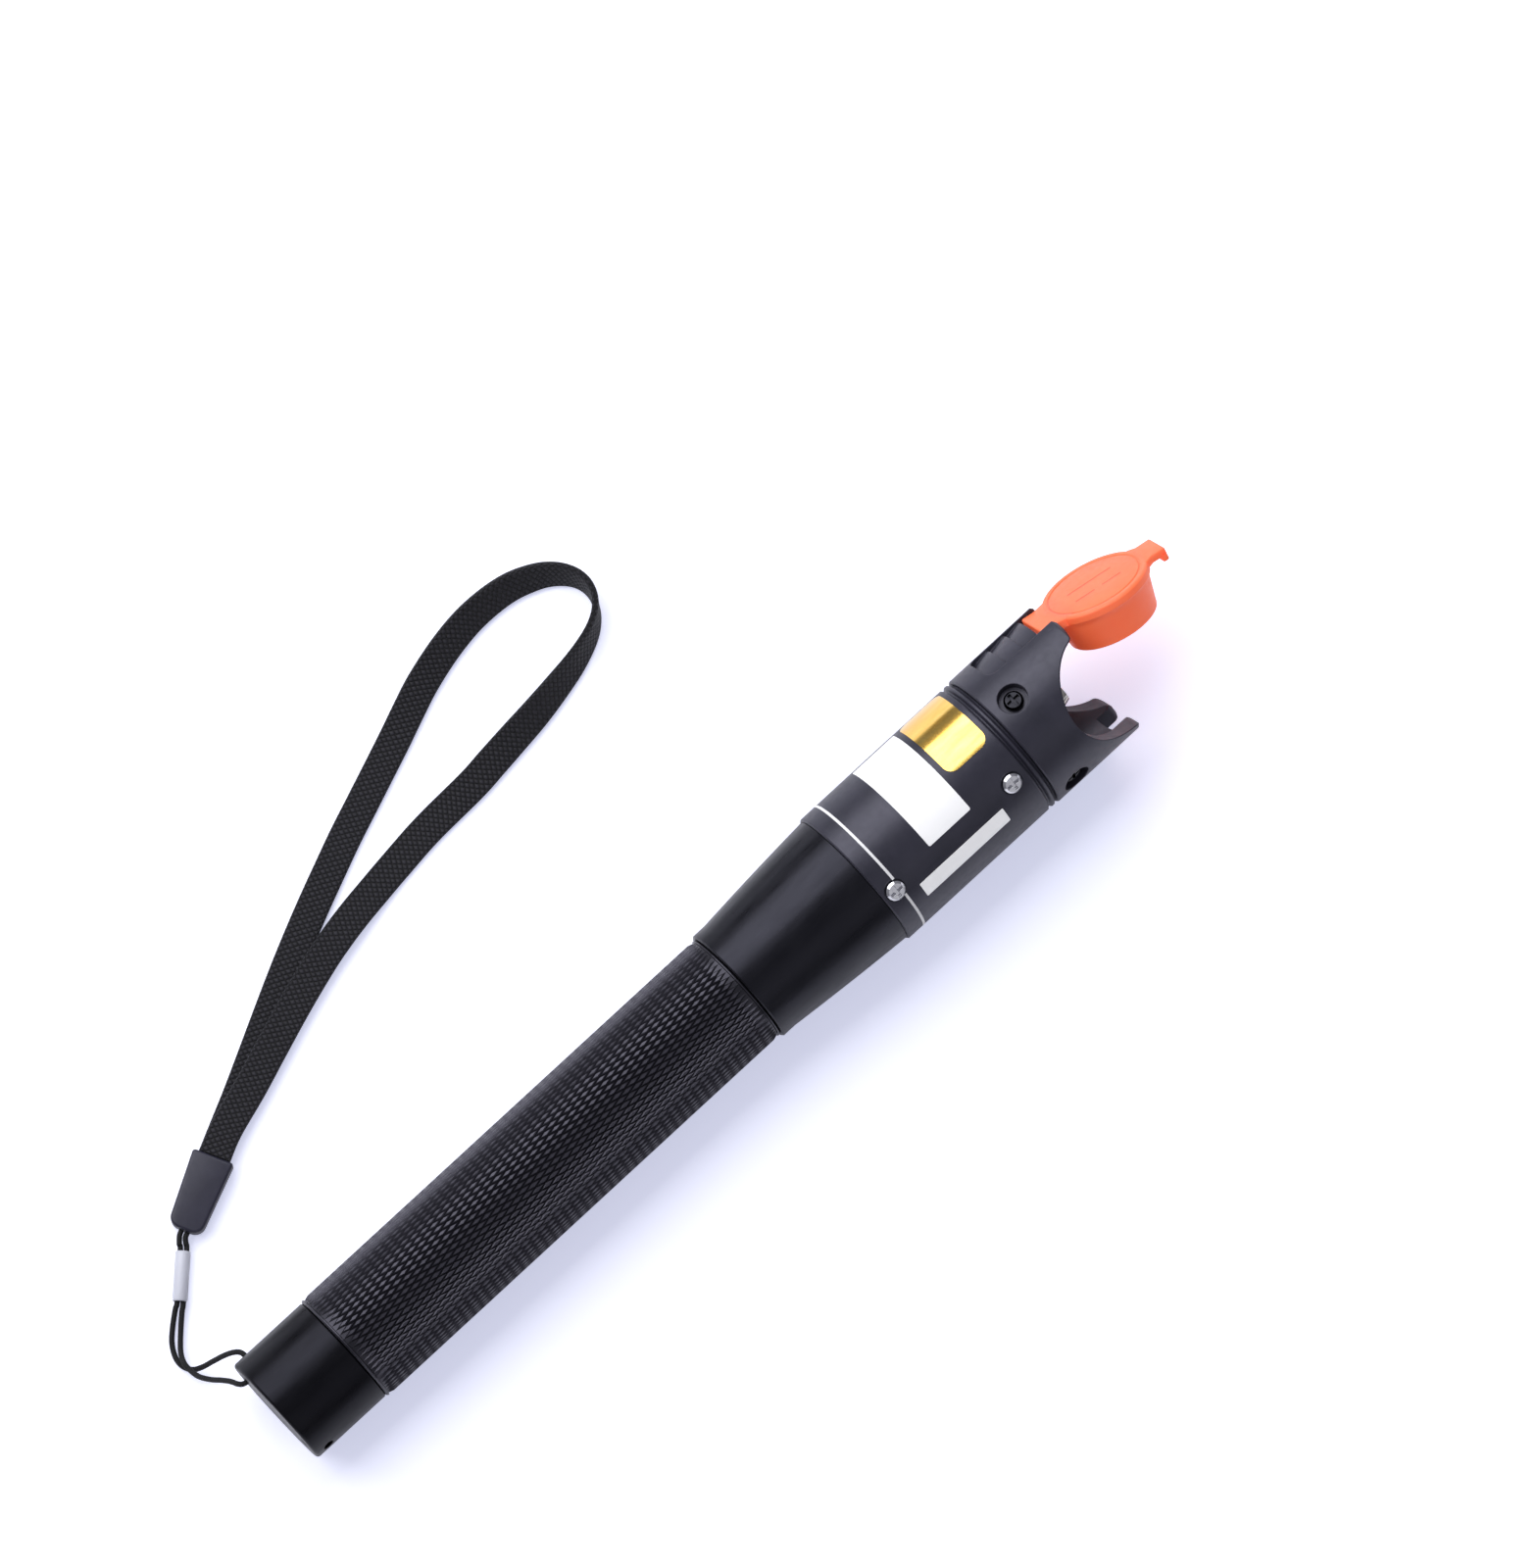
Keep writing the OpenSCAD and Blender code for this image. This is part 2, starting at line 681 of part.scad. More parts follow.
// Pan head screw along +Z, with its seat at the origin
module screw() {
    difference() {
        union() {
            translate([0, 0, -screw_len]) cylinder(d = screw_d, h = screw_len + screw_head_t / 2);
            cylinder(d = screw_head_d, h = screw_head_t - screw_crown);
            translate([0, 0, screw_head_t - screw_crown])
                cylinder(d1 = screw_head_d, d2 = screw_head_d - 2 * screw_crown, h = screw_crown);
        }
        for (a = [0, 90]) rotate([0, 0, a]) translate([-screw_head_d * screw_cross_share / 2,
            -screw_cross_w / 2, screw_head_t - screw_cross_depth])
            cube([screw_head_d * screw_cross_share, screw_cross_w, screw_head_t]);
    }
}

module front_body() {
    color("#26262b") difference() {
        turned([[body_bore_r, x_seam], [body_r - edge, x_seam], [body_r, x_seam + edge],
            [body_r, x_body_front - edge], [body_r - edge, x_body_front], [body_bore_r, x_body_front]]);
        body_screw_holes();
        at_body_screws() translate([0, 0, body_r - screw_seat_depth])
            cylinder(d = screw_head_d + 2 * spot_gap, h = body_r);
        around(switch_angle) {
            block([-switch_back - knob_stem_l / 2 - switch_travel - switch_window_gap,
                -knob_stem_w / 2 - switch_window_gap, body_bore_r - overrun],
                [-switch_back + knob_stem_l / 2 + switch_travel + switch_window_gap,
                    knob_stem_w / 2 + switch_window_gap, body_r + overrun]);
            block([-switch_back - knob_l / 2 - switch_travel - switch_recess_gap,
                -knob_w / 2 - switch_recess_gap, switch_floor],
                [-switch_back + knob_l / 2 + switch_travel + switch_recess_gap,
                    knob_w / 2 + switch_recess_gap, body_r + overrun]);
        }
    }
}

module body_screws() {
    color("#cfcfd2") at_body_screws() translate([0, 0, body_r - screw_seat_depth]) screw();
}

// Collar with a bead between two grooves
module collar_ring() {
    groove_r = body_r - collar_groove;
    mid = (x_body_front + x_shroud) / 2;
    bead = collar_len * collar_bead_share;
    bead_root = collar_len * collar_root_share;
    color("#232327") turned([[well_r, x_body_front + seat_gap], [groove_r, x_body_front + seat_gap],
        [groove_r, mid - bead_root],
        [body_r - edge, mid - bead], [body_r, mid - bead / 2], [body_r, mid + bead / 2],
        [body_r - edge, mid + bead], [groove_r, mid + bead_root], [groove_r, x_shroud - seat_gap],
            [well_r, x_shroud - seat_gap]]);
}

// Stepped channel on the outside of the +Z prong, with rounded rear corners
module prong_channel(width) {
    from_x = x_tips - channel_back;
    to_x = x_tips - slot_depth;
    run = to_x - from_x;
    deep = shroud_r - channel_deep;
    shallow = shroud_r - channel_shallow;
    outside = shroud_r + overrun;
    teeth = [for (i = [0:2]) each [[deep, from_x + run * channel_step_share[i]],
        [shallow, from_x + run * channel_step_share[i + 1]]]];
    intersection() {
        union() {
            for (side = [-1, 1]) translate([from_x + channel_corner,
                side * (width / 2 - channel_corner), cut_from])
                cylinder(r = channel_corner, h = outside - cut_from);
            block([from_x, channel_corner - width / 2, cut_from], [from_x + channel_corner,
                width / 2 - channel_corner, outside]);
            block([from_x + channel_corner, -width / 2, cut_from], [to_x + overrun, width / 2,
                outside]);
        }
        turned(concat([[outside, from_x - overrun], [deep, from_x - overrun]], teeth,
            [[shallow, to_x + 2 * overrun], [outside, to_x + 2 * overrun]]));
    }
}

// Slot through the +Z prong's tip, with its two ears rounded towards the slot
module prong_slot(width, ear_round) {
    outside = shroud_r + overrun;
    block([x_tips - slot_depth, -width / 2, cut_from], [x_tips + overrun, width / 2, outside]);
    for (side = [-1, 1]) translate([0, 0, cut_from]) linear_extrude(outside - cut_from) difference() {
        translate([x_tips - ear_round, side * (width + ear_round - overrun) / 2 - (ear_round + overrun) / 2])
            square([ear_round + overrun, ear_round + overrun]);
        translate([x_tips - ear_round, side * (width / 2 + ear_round)]) circle(r = ear_round);
    }
}

// Rounds off the two tips on one side of the notches
module tip_rounding() {
    corner_y = sqrt(notch_r * notch_r - pow(notch_past_tips + tip_round, 2));
    reach = shroud_r + overrun;
    translate([0, 0, -reach]) linear_extrude(2 * reach) difference() {
        translate([x_tips - tip_round, corner_y - overrun]) square([tip_round + overrun,
            tip_round + overrun]);
        translate([x_tips - tip_round, corner_y + tip_round]) circle(r = tip_round);
    }
}

module head_shroud() {
    color("#2a2a30") difference() {
        turned([[well_r, x_shroud], [shroud_r - edge, x_shroud], [shroud_r, x_shroud + edge],
            [shroud_r, x_tips - shroud_edge], [shroud_r - shroud_edge, x_tips], [well_r + edge, x_tips],
            [well_r, x_tips - edge], [well_r, x_web], [barrel_d / 2 + seat_gap, x_web],
            [barrel_d / 2 + seat_gap, x_web - web_t], [well_r, x_web - web_t]]);
        around(notch_angle) {
            translate([x_tips + notch_past_tips, 0, -shroud_r - overrun]) cylinder(r = notch_r,
                h = 2 * (shroud_r + overrun));
            tip_rounding();
            mirror([0, 1, 0]) tip_rounding();
        }
        around(prong_angle) {
            prong_slot(hinge_slot_w, hinge_ear_round);
            prong_channel(hinge_slot_w);
            mirror([0, 0, 1]) {
                prong_slot(catch_slot_w, catch_ear_round);
                prong_channel(catch_slot_w);
            }
            translate([x_pin, pin_half + seat_gap, pin_r]) rotate([90, 0, 0])
                cylinder(d = hinge_pin_d + seat_gap, h = 2 * (pin_half + seat_gap));
        }
        for (i = [0:3]) around(notch_angle + 45 + 90 * i) translate([shroud_screw_x, 0, 0]) {
            translate([0, 0, well_r - overrun]) cylinder(d = screw_d + 4 * seat_gap, h = shroud_r);
            translate([0, 0, shroud_screw_seat]) cylinder(d = recess_d, h = shroud_r);
        }
    }
}

module shroud_screws() {
    color("#cfcfd2") for (i = [0:3]) around(notch_angle + 45 + 90 * i)
        translate([shroud_screw_x, 0, shroud_screw_seat]) screw();
}

// Threaded barrel of the port, with the ferrule sleeve's bore
module port_barrel() {
    rear = x_lens_ring + lens_ring_t + seat_gap;
    bore_r = sleeve_d / 2 + seat_gap;
    color("#c6c8cc") turned([[bore_r, rear], [barrel_d / 2, rear], [barrel_d / 2, x_web + nut_t],
        [barrel_neck_r, x_web + nut_t], [barrel_neck_r, -barrel_neck_len],
        [barrel_tip_r, -barrel_neck_len], [barrel_tip_r, -barrel_tip_cone], [barrel_mouth_r, 0],
        [bore_r, 0]]);
}

module port_sleeve() {
    color("#f1efe8") difference() {
        rod(sleeve_d / 2, -sleeve_len, 0);
        rod(ferrule_d / 2, -sleeve_len - overrun, overrun);
    }
}

// Round nut with two spanner slots
module port_nut() {
    color("#b9bbc0") difference() {
        turned([[barrel_d / 2 + seat_gap, x_web], [nut_r, x_web], [nut_r, x_web + nut_t - edge],
            [nut_r - edge, x_web + nut_t], [barrel_d / 2 + seat_gap, x_web + nut_t]]);
        for (side = [0, 180]) around(prong_angle + 90 + side)
            block([x_web + nut_t - nut_slot_depth, -nut_slot_w / 2, barrel_d / 2],
                [x_web + nut_t + overrun, nut_slot_w / 2, nut_r + overrun]);
    }
}

// Places its children in the dust cap's frame: the hinge pin at the origin, the closed cap along -Z
module on_lid() {
    around(prong_angle) translate([x_pin, 0, pin_r]) rotate([0, -lid_open, 0]) children();
}

// Dust cap: a disc with a tapered cup under it, a hinge arm and a catch tab
module cap_lid() {
    arm_w = hinge_slot_w - 2 * arm_side_gap;
    tab_w = catch_slot_w - 2 * arm_side_gap;
    skirt_r = lid_r - lid_shelf;
    mouth_r = skirt_r - lid_taper;
    mouth_x = lid_top - lid_depth;
    inner_x = lid_top - lid_top_wall;
    color("#f5814a") on_lid() difference() {
        union() {
            translate([0, 0, -pin_r]) turned(concat([[0, mouth_x], [mouth_r, mouth_x], [skirt_r,
                lid_top - lid_disc_t],
                [lid_r - edge, lid_top - lid_disc_t], [lid_r, lid_top - lid_disc_t + edge]],
                arc([lid_r - lid_round, lid_top - lid_round], lid_round, 0, 90, 5), [[0, lid_top]]));
            block([lid_top - arm_t, -arm_w / 2, -pin_r + arm_root], [lid_top, arm_w / 2, arm_end]);
            block([lid_top - tab_t, -tab_w / 2, -pin_r - tab_reach], [lid_top, tab_w / 2,
                -pin_r - tab_root]);
            block([lid_top - catch_depth, -tab_w / 2, -pin_r - tab_reach], [lid_top, tab_w / 2,
                -pin_r - tab_reach + catch_t]);
        }
        translate([0, 0, -pin_r]) {
            turned([[0, mouth_x - overrun], [mouth_r - lid_wall, mouth_x - overrun],
                [mouth_r - lid_wall, mouth_x],
                [skirt_r - lid_wall, inner_x], [0, inner_x]]);
            turned([[lid_groove_r - lid_groove_half_w, lid_top + overrun],
                [lid_groove_r - lid_groove_half_w, lid_top - lid_groove_depth],
                [lid_groove_r + lid_groove_half_w, lid_top - lid_groove_depth],
                    [lid_groove_r + lid_groove_half_w, lid_top + overrun]]);
        }
        translate([0, arm_w, 0]) rotate([90, 0, 0]) cylinder(d = hinge_pin_d + 2 * seat_gap,
            h = 2 * arm_w);
    }
}

module cap_hinge_pin() {
    color("#b9bcc0") around(prong_angle) translate([x_pin, pin_half, pin_r]) rotate([90, 0, 0])
        cylinder(d = hinge_pin_d, h = 2 * pin_half);
}

module lanyard_cord() {
    path = [for (p = cord_route) [p[0], p[1], bench(p[0]) + p[2]]];
    color("#1a1a1c") skin(swept(path, [for (p = path) 0], round_section(cord_d / 2, 8)));
}

// Clear sleeve over both strands of the cord
module lanyard_sleeve() {
    from = [tube_from[0], tube_from[1], bench(tube_from[0]) + tube_d / 2];
    to = [tube_to[0], tube_to[1], bench(tube_to[0]) + tube_d / 2];
    run = to - from;
    color("#dfe4ea") translate(from) rotate([0, acos(run[2] / norm(run)), atan2(run[1], run[0])])
        difference() {
        cylinder(d = tube_d, h = norm(run));
        translate([0, 0, -overrun]) cylinder(d = tube_bore_d, h = norm(run) + 2 * overrun);
    }
}

// Crimp that joins the strap and the cord, with a rounded narrow end
module lanyard_crimp() {
    half = crimp_len / 2;
    narrow = crimp_narrow_w / 2;
    wide = crimp_w / 2;
    color("#3a3843") translate([crimp_x, crimp_y, bench(crimp_x)]) rotate([0, bench_tilt, 0])
        rotate([0, 0, crimp_angle])
        linear_extrude(crimp_t) polygon(concat(
            arc([crimp_corner_r - half, crimp_corner_r - narrow], crimp_corner_r, 180, 270, 6),
            arc([half - crimp_top_r, crimp_top_r - wide], crimp_top_r, 270, 360, 3),
            arc([half - crimp_top_r, wide - crimp_top_r], crimp_top_r, 0, 90, 3),
            arc([crimp_corner_r - half, narrow - crimp_corner_r], crimp_corner_r, 90, 180, 6)));
}

module lanyard_strap() {
    half_w = strap_w / 2;
    half_t = strap_t / 2;
    inner_w = half_w - strap_corner;
    inner_t = half_t - strap_corner;
    section = [[half_w, -inner_t], [inner_w, -half_t], [-inner_w, -half_t], [-half_w, -inner_t],
        [-half_w, inner_t], [-inner_w, half_t], [inner_w, half_t], [half_w, inner_t]];
    path = [for (p = strap_route)
        [p[0], p[1], bench(p[0]) + p[3] + half_w * abs(sin(p[2])) + half_t * abs(cos(p[2]))]];
    color("#151517") skin(swept(path, [for (p = strap_route) p[2]], section));
}

tail_cap();
tail_contact();
tail_spring();
tail_o_ring();
battery_tube();
battery_rear();
battery_front();
front_o_ring();
neck_cone();
front_contact();
contact_block();
driver_board();
slide_switch();
switch_lever();
switch_knob();
laser_diode();
lens();
lens_ring();
laser_block();
front_body();
body_screws();
collar_ring();
head_shroud();
shroud_screws();
port_barrel();
port_sleeve();
port_nut();
cap_lid();
cap_hinge_pin();
lanyard_cord();
lanyard_sleeve();
lanyard_crimp();
lanyard_strap();
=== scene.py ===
import math

import bmesh
import bpy
from mathutils import Matrix, Vector


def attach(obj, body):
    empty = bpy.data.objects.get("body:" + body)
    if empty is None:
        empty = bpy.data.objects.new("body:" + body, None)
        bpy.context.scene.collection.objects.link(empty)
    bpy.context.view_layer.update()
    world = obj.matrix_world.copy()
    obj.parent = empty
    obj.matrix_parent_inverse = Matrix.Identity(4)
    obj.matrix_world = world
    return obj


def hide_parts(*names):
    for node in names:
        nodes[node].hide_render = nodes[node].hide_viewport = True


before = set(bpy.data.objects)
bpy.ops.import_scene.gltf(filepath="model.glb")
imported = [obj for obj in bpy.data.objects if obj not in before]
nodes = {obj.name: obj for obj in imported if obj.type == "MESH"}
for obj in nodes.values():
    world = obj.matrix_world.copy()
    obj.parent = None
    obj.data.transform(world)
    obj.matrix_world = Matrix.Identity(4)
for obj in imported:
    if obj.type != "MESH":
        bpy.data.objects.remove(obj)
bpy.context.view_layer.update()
MM = 0.001
TAU = 2 * math.pi

# Places along the pen, in millimetres from the port's mouth
X_SEAM = -45.0
X_NECK = -70.2
X_GRIP = -154.9
X_TAIL = -169.5

# Angle of the prong with the dust cap's hinge, from +Z towards +Y
PRONG = 57

# Radii of the turned parts
TAIL_R = 9.85
GRIP_R = 10.1
BODY_R = 12.75


# Bench that the pen and the lanyard lie on
SLOPE = (BODY_R - TAIL_R) / (X_SEAM - X_TAIL)


def bench(x):
    return -BODY_R + (X_SEAM - x) * SLOPE


# Mesh helpers
def piece(name, verts, faces, material, body, smooth=True, uvs=None):
    mesh = bpy.data.meshes.new(name)
    mesh.from_pydata([Vector(v) * MM for v in verts], [], faces)
    if uvs:
        layer = mesh.uv_layers.new(name="UVMap")
        for loop in mesh.loops:
            layer.data[loop.index].uv = uvs[loop.vertex_index]
    bm = bmesh.new()
    bm.from_mesh(mesh)
    bmesh.ops.recalc_face_normals(bm, faces=bm.faces)
    bm.to_mesh(mesh)
    bm.free()
    for poly in mesh.polygons:
        poly.use_smooth = smooth
    obj = bpy.data.objects.new(name, mesh)
    bpy.context.scene.collection.objects.link(obj)
    obj.data.materials.append(material)
    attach(obj, body)
    return obj


def around(angle):
    return Matrix.Rotation(-math.radians(angle), 4, "X")


def moved(verts, matrix):
    return [tuple(matrix @ Vector(v)) for v in verts]


def joined(*parts):
    verts = []
    faces = []
    for vs, fs in parts:
        n = len(verts)
        verts += vs
        faces += [[n + i for i in f] for f in fs]
    return verts, faces


def lathe(profile, segments=128, closed=True):
    verts = []
    for x, r in profile:
        for k in range(segments):
            a = TAU * k / segments
            verts.append((x, r * math.sin(a), r * math.cos(a)))
    faces = []
    count = len(profile)
    last = count if closed else count - 1
    for i in range(last):
        j = (i + 1) % count
        for k in range(segments):
            m = (k + 1) % segments
            faces.append([i * segments + k, i * segments + m, j * segments + m, j * segments + k])
    return verts, faces


def arc(cx, cy, r, start, end, steps):
    points = []
    for i in range(steps + 1):
        a = math.radians(start + (end - start) * i / steps)
        points.append((cx + r * math.cos(a), cy + r * math.sin(a)))
    return points


def sweep(path, section, rolls=None):
    verts = []
    uvs = []
    n = len(section)
    along = 0.0
    for i, p in enumerate(path):
        a = path[max(i - 1, 0)]
        b = path[min(i + 1, len(path) - 1)]
        t = (b - a).normalized()
        s = Vector((0, 0, 1)).cross(t).normalized()
        roll = math.radians(rolls[i]) if rolls else 0.0
        w = s * math.cos(roll) + t.cross(s) * math.sin(roll)
        u = t.cross(w)
        if i:
            along += (p - path[i - 1]).length
        for k, q in enumerate(section):
            verts.append(tuple(p + w * q[0] + u * q[1]))
            uvs.append((k / n, along))
    faces = []
    for i in range(len(path) - 1):
        for k in range(n):
            m = (k + 1) % n
            faces.append([i * n + k, i * n + m, (i + 1) * n + m, (i + 1) * n + k])
    faces.append(list(range(n)))
    faces.append([(len(path) - 1) * n + k for k in reversed(range(n))])
    return verts, faces, uvs


def catmull(points, step):
    out = []
    n = len(points)
    for i in range(n - 1):
        p0 = points[max(i - 1, 0)]
        p1 = points[i]
        p2 = points[i + 1]
        p3 = points[min(i + 2, n - 1)]
        count = max(2, int(math.dist(p1[:2], p2[:2]) / step))
        for k in range(count):
            t = k / count
            out.append(tuple(
                0.5 * (2 * b + (c - a) * t + (2 * a - 5 * b + 4 * c - d) * t * t
                       + (3 * b - a - 3 * c + d) * t * t * t)
                for a, b, c, d in zip(p0, p1, p2, p3)))
    out.append(tuple(points[-1]))
    return out


def bevelled(verts, faces, width, segments=3, angle=30):
    mesh = bpy.data.meshes.new("tmp")
    mesh.from_pydata([Vector(v) for v in verts], [], faces)
    bm = bmesh.new()
    bm.from_mesh(mesh)
    bmesh.ops.remove_doubles(bm, verts=bm.verts, dist=0.0005)
    bmesh.ops.recalc_face_normals(bm, faces=bm.faces)
    sharp = [e for e in bm.edges if len(e.link_faces) == 2 and e.calc_face_angle(0) > math.radians(angle)]
    bmesh.ops.bevel(bm, geom=sharp, offset=width, segments=segments, profile=0.5, affect="EDGES",
                    clamp_overlap=True)
    bm.verts.ensure_lookup_table()
    vs = [tuple(v.co) for v in bm.verts]
    fs = [[v.index for v in f.verts] for f in bm.faces]
    bm.free()
    bpy.data.meshes.remove(mesh)
    return vs, fs


def cuboid(low, high):
    verts = [(x, y, z) for x in (low[0], high[0]) for y in (low[1], high[1]) for z in (low[2], high[2])]
    faces = [[0, 1, 3, 2], [4, 6, 7, 5], [0, 4, 5, 1], [2, 3, 7, 6], [0, 2, 6, 4], [1, 5, 7, 3]]
    return verts, faces


def outline_solid(outline, height):
    n = len(outline)
    verts = [(x, y, 0) for x, y in outline] + [(x, y, height) for x, y in outline]
    faces = [[k, (k + 1) % n, n + (k + 1) % n, n + k] for k in range(n)]
    faces.append(list(reversed(range(n))))
    faces.append([n + k for k in range(n)])
    return verts, faces


# Material helpers
def linear(rgb):
    return tuple(((c / 255 + 0.055) / 1.055) ** 2.4 if c > 10 else c / 255 / 12.92 for c in rgb)


class Shader:
    def __init__(self, name, rgb, rough, metallic=0.0):
        self.material = bpy.data.materials.new(name)
        self.material.use_nodes = True
        self.tree = self.material.node_tree
        self.bsdf = self.tree.nodes["Principled BSDF"]
        self.set("Base Color", linear(rgb) + (1.0,))
        self.set("Roughness", rough)
        self.set("Metallic", metallic)
        self.coords = self.node("ShaderNodeTexCoord")
        self.normal = None

    def set(self, socket, value):
        self.bsdf.inputs[socket].default_value = value

    def node(self, kind, **values):
        made = self.tree.nodes.new(kind)
        for key, value in values.items():
            if hasattr(made, key):
                setattr(made, key, value)
            else:
                made.inputs[key.replace("_", " ")].default_value = value
        return made

    def link(self, a, b):
        self.tree.links.new(a, b)

    def noise(self, scale, detail=4, stretch=None):
        tex = self.node("ShaderNodeTexNoise", Scale=scale, Detail=detail, Roughness=0.55)
        source = self.coords.outputs["Object"]
        if stretch:
            mapping = self.node("ShaderNodeMapping")
            mapping.inputs["Scale"].default_value = stretch
            self.link(source, mapping.inputs["Vector"])
            source = mapping.outputs["Vector"]
        self.link(source, tex.inputs["Vector"])
        return tex.outputs["Fac"]

    def ramp(self, value, low, high, a, b):
        made = self.node("ShaderNodeMapRange")
        made.inputs["From Min"].default_value = low
        made.inputs["From Max"].default_value = high
        made.inputs["To Min"].default_value = a
        made.inputs["To Max"].default_value = b
        self.link(value, made.inputs["Value"])
        return made.outputs["Result"]

    def math(self, operation, a, b=None):
        made = self.node("ShaderNodeMath", operation=operation)
        for socket, value in zip(made.inputs, (a, b)):
            if value is None:
                continue
            if isinstance(value, (int, float)):
                socket.default_value = value
            else:
                self.link(value, socket)
        return made.outputs["Value"]

    def tint(self, factor, rgb_a, rgb_b):
        mix = self.node("ShaderNodeMix", data_type="RGBA")
        mix.inputs[6].default_value = linear(rgb_a) + (1.0,)
        mix.inputs[7].default_value = linear(rgb_b) + (1.0,)
        self.link(factor, mix.inputs[0])
        self.link(mix.outputs[2], self.bsdf.inputs["Base Color"])

    def roughness(self, value, a, b):
        self.link(self.ramp(value, 0.3, 0.7, a, b), self.bsdf.inputs["Roughness"])

    def bump(self, height, distance, strength=1.0):
        made = self.node("ShaderNodeBump")
        made.inputs["Distance"].default_value = distance * MM
        made.inputs["Strength"].default_value = strength
        self.link(height, made.inputs["Height"])
        if self.normal is not None:
            self.link(self.normal, made.inputs["Normal"])
        self.normal = made.outputs["Normal"]
        self.link(self.normal, self.bsdf.inputs["Normal"])

    def soften(self, radius):
        made = self.node("ShaderNodeBevel", samples=6)
        made.inputs["Radius"].default_value = radius * MM
        if self.normal is not None:
            self.link(self.normal, made.inputs["Normal"])
        self.normal = made.outputs["Normal"]
        self.link(self.normal, self.bsdf.inputs["Normal"])


def charcoal():
    s = Shader("charcoal_metal", (39, 39, 48), 0.4)
    s.soften(0.35)
    grain = s.noise(9000, 3)
    s.tint(s.ramp(s.noise(160, 5), 0.35, 0.7, 0, 1), (36, 36, 45), (45, 44, 55))
    s.roughness(s.noise(900, 3), 0.34, 0.44)
    s.bump(grain, 0.012, 0.5)
    s.set("Specular IOR Level", 0.6)
    s.set("Specular Tint", (0.87, 0.86, 1.0, 1.0))
    return s.material


def gloss_black(name, rgb, rough, specular):
    s = Shader(name, rgb, rough)
    s.soften(0.2)
    s.tint(s.ramp(s.noise(240, 4), 0.35, 0.7, 0, 1), rgb, tuple(c + 4 for c in rgb))
    s.roughness(s.noise(700, 4, stretch=(0.2, 1, 1)), rough - 0.04, rough + 0.1)
    s.bump(s.noise(2600, 3, stretch=(4, 1, 1)), 0.006, 0.4)
    s.set("Specular IOR Level", specular)
    s.set("Specular Tint", (0.8, 0.8, 1.0, 1.0))
    return s.material


def knurl_metal():
    s = Shader("knurl_metal", (24, 24, 27), 0.3)
    # Colour follows the knurl's height attribute: darker down in the grooves, lighter on the flat tops
    knurl_height = s.node("ShaderNodeAttribute", attribute_name="height")
    s.tint(s.ramp(knurl_height.outputs["Fac"], 0.2, 1.0, 0, 1), (12, 12, 14), (44, 43, 49))
    s.roughness(s.noise(900, 4), 0.26, 0.4)
    s.set("Specular IOR Level", 0.6)
    s.set("Specular Tint", (0.84, 0.82, 1.0, 1.0))
    return s.material


def metal(name, rgb, rough):
    s = Shader(name, rgb, rough, 1.0)
    s.soften(0.08)
    s.tint(s.ramp(s.noise(500), 0.35, 0.7, 0, 1), rgb, tuple(c - 18 for c in rgb))
    s.roughness(s.noise(1500), rough * 0.8, rough * 1.3)
    s.bump(s.noise(4000, 3), 0.004, 0.5)
    return s.material


def gold_plate():
    s = Shader("gold_plate", (255, 204, 88), 0.16, 1.0)
    s.tint(s.ramp(s.noise(120, 4, stretch=(1, 6, 6)), 0.35, 0.7, 0, 1), (255, 198, 78), (255, 216, 112))
    s.set("Coat Weight", 1.0)
    s.set("Coat Roughness", 0.12)
    s.roughness(s.noise(2500, 4, stretch=(6, 0.6, 0.6)), 0.12, 0.24)
    s.bump(s.noise(5200, 3, stretch=(6, 0.4, 0.4)), 0.004, 0.6)
    return s.material


def rubber(name, rgb, rough, bump=0.01):
    s = Shader(name, rgb, rough)
    s.tint(s.ramp(s.noise(220, 5), 0.3, 0.75, 0, 1), rgb, tuple(c - 12 for c in rgb))
    s.roughness(s.noise(1200, 4), rough - 0.06, rough + 0.08)
    s.bump(s.noise(5200, 3), bump, 0.5)
    return s.material


# Engraved lines on the dust cap's disc: place aside, middle and half length; and the ring round them
LID_LINES = ((1.9, 0.0, 4.1), (-1.9, 2.55, 1.7), (-1.9, -2.55, 1.7))
LID_RING_R = 8.02


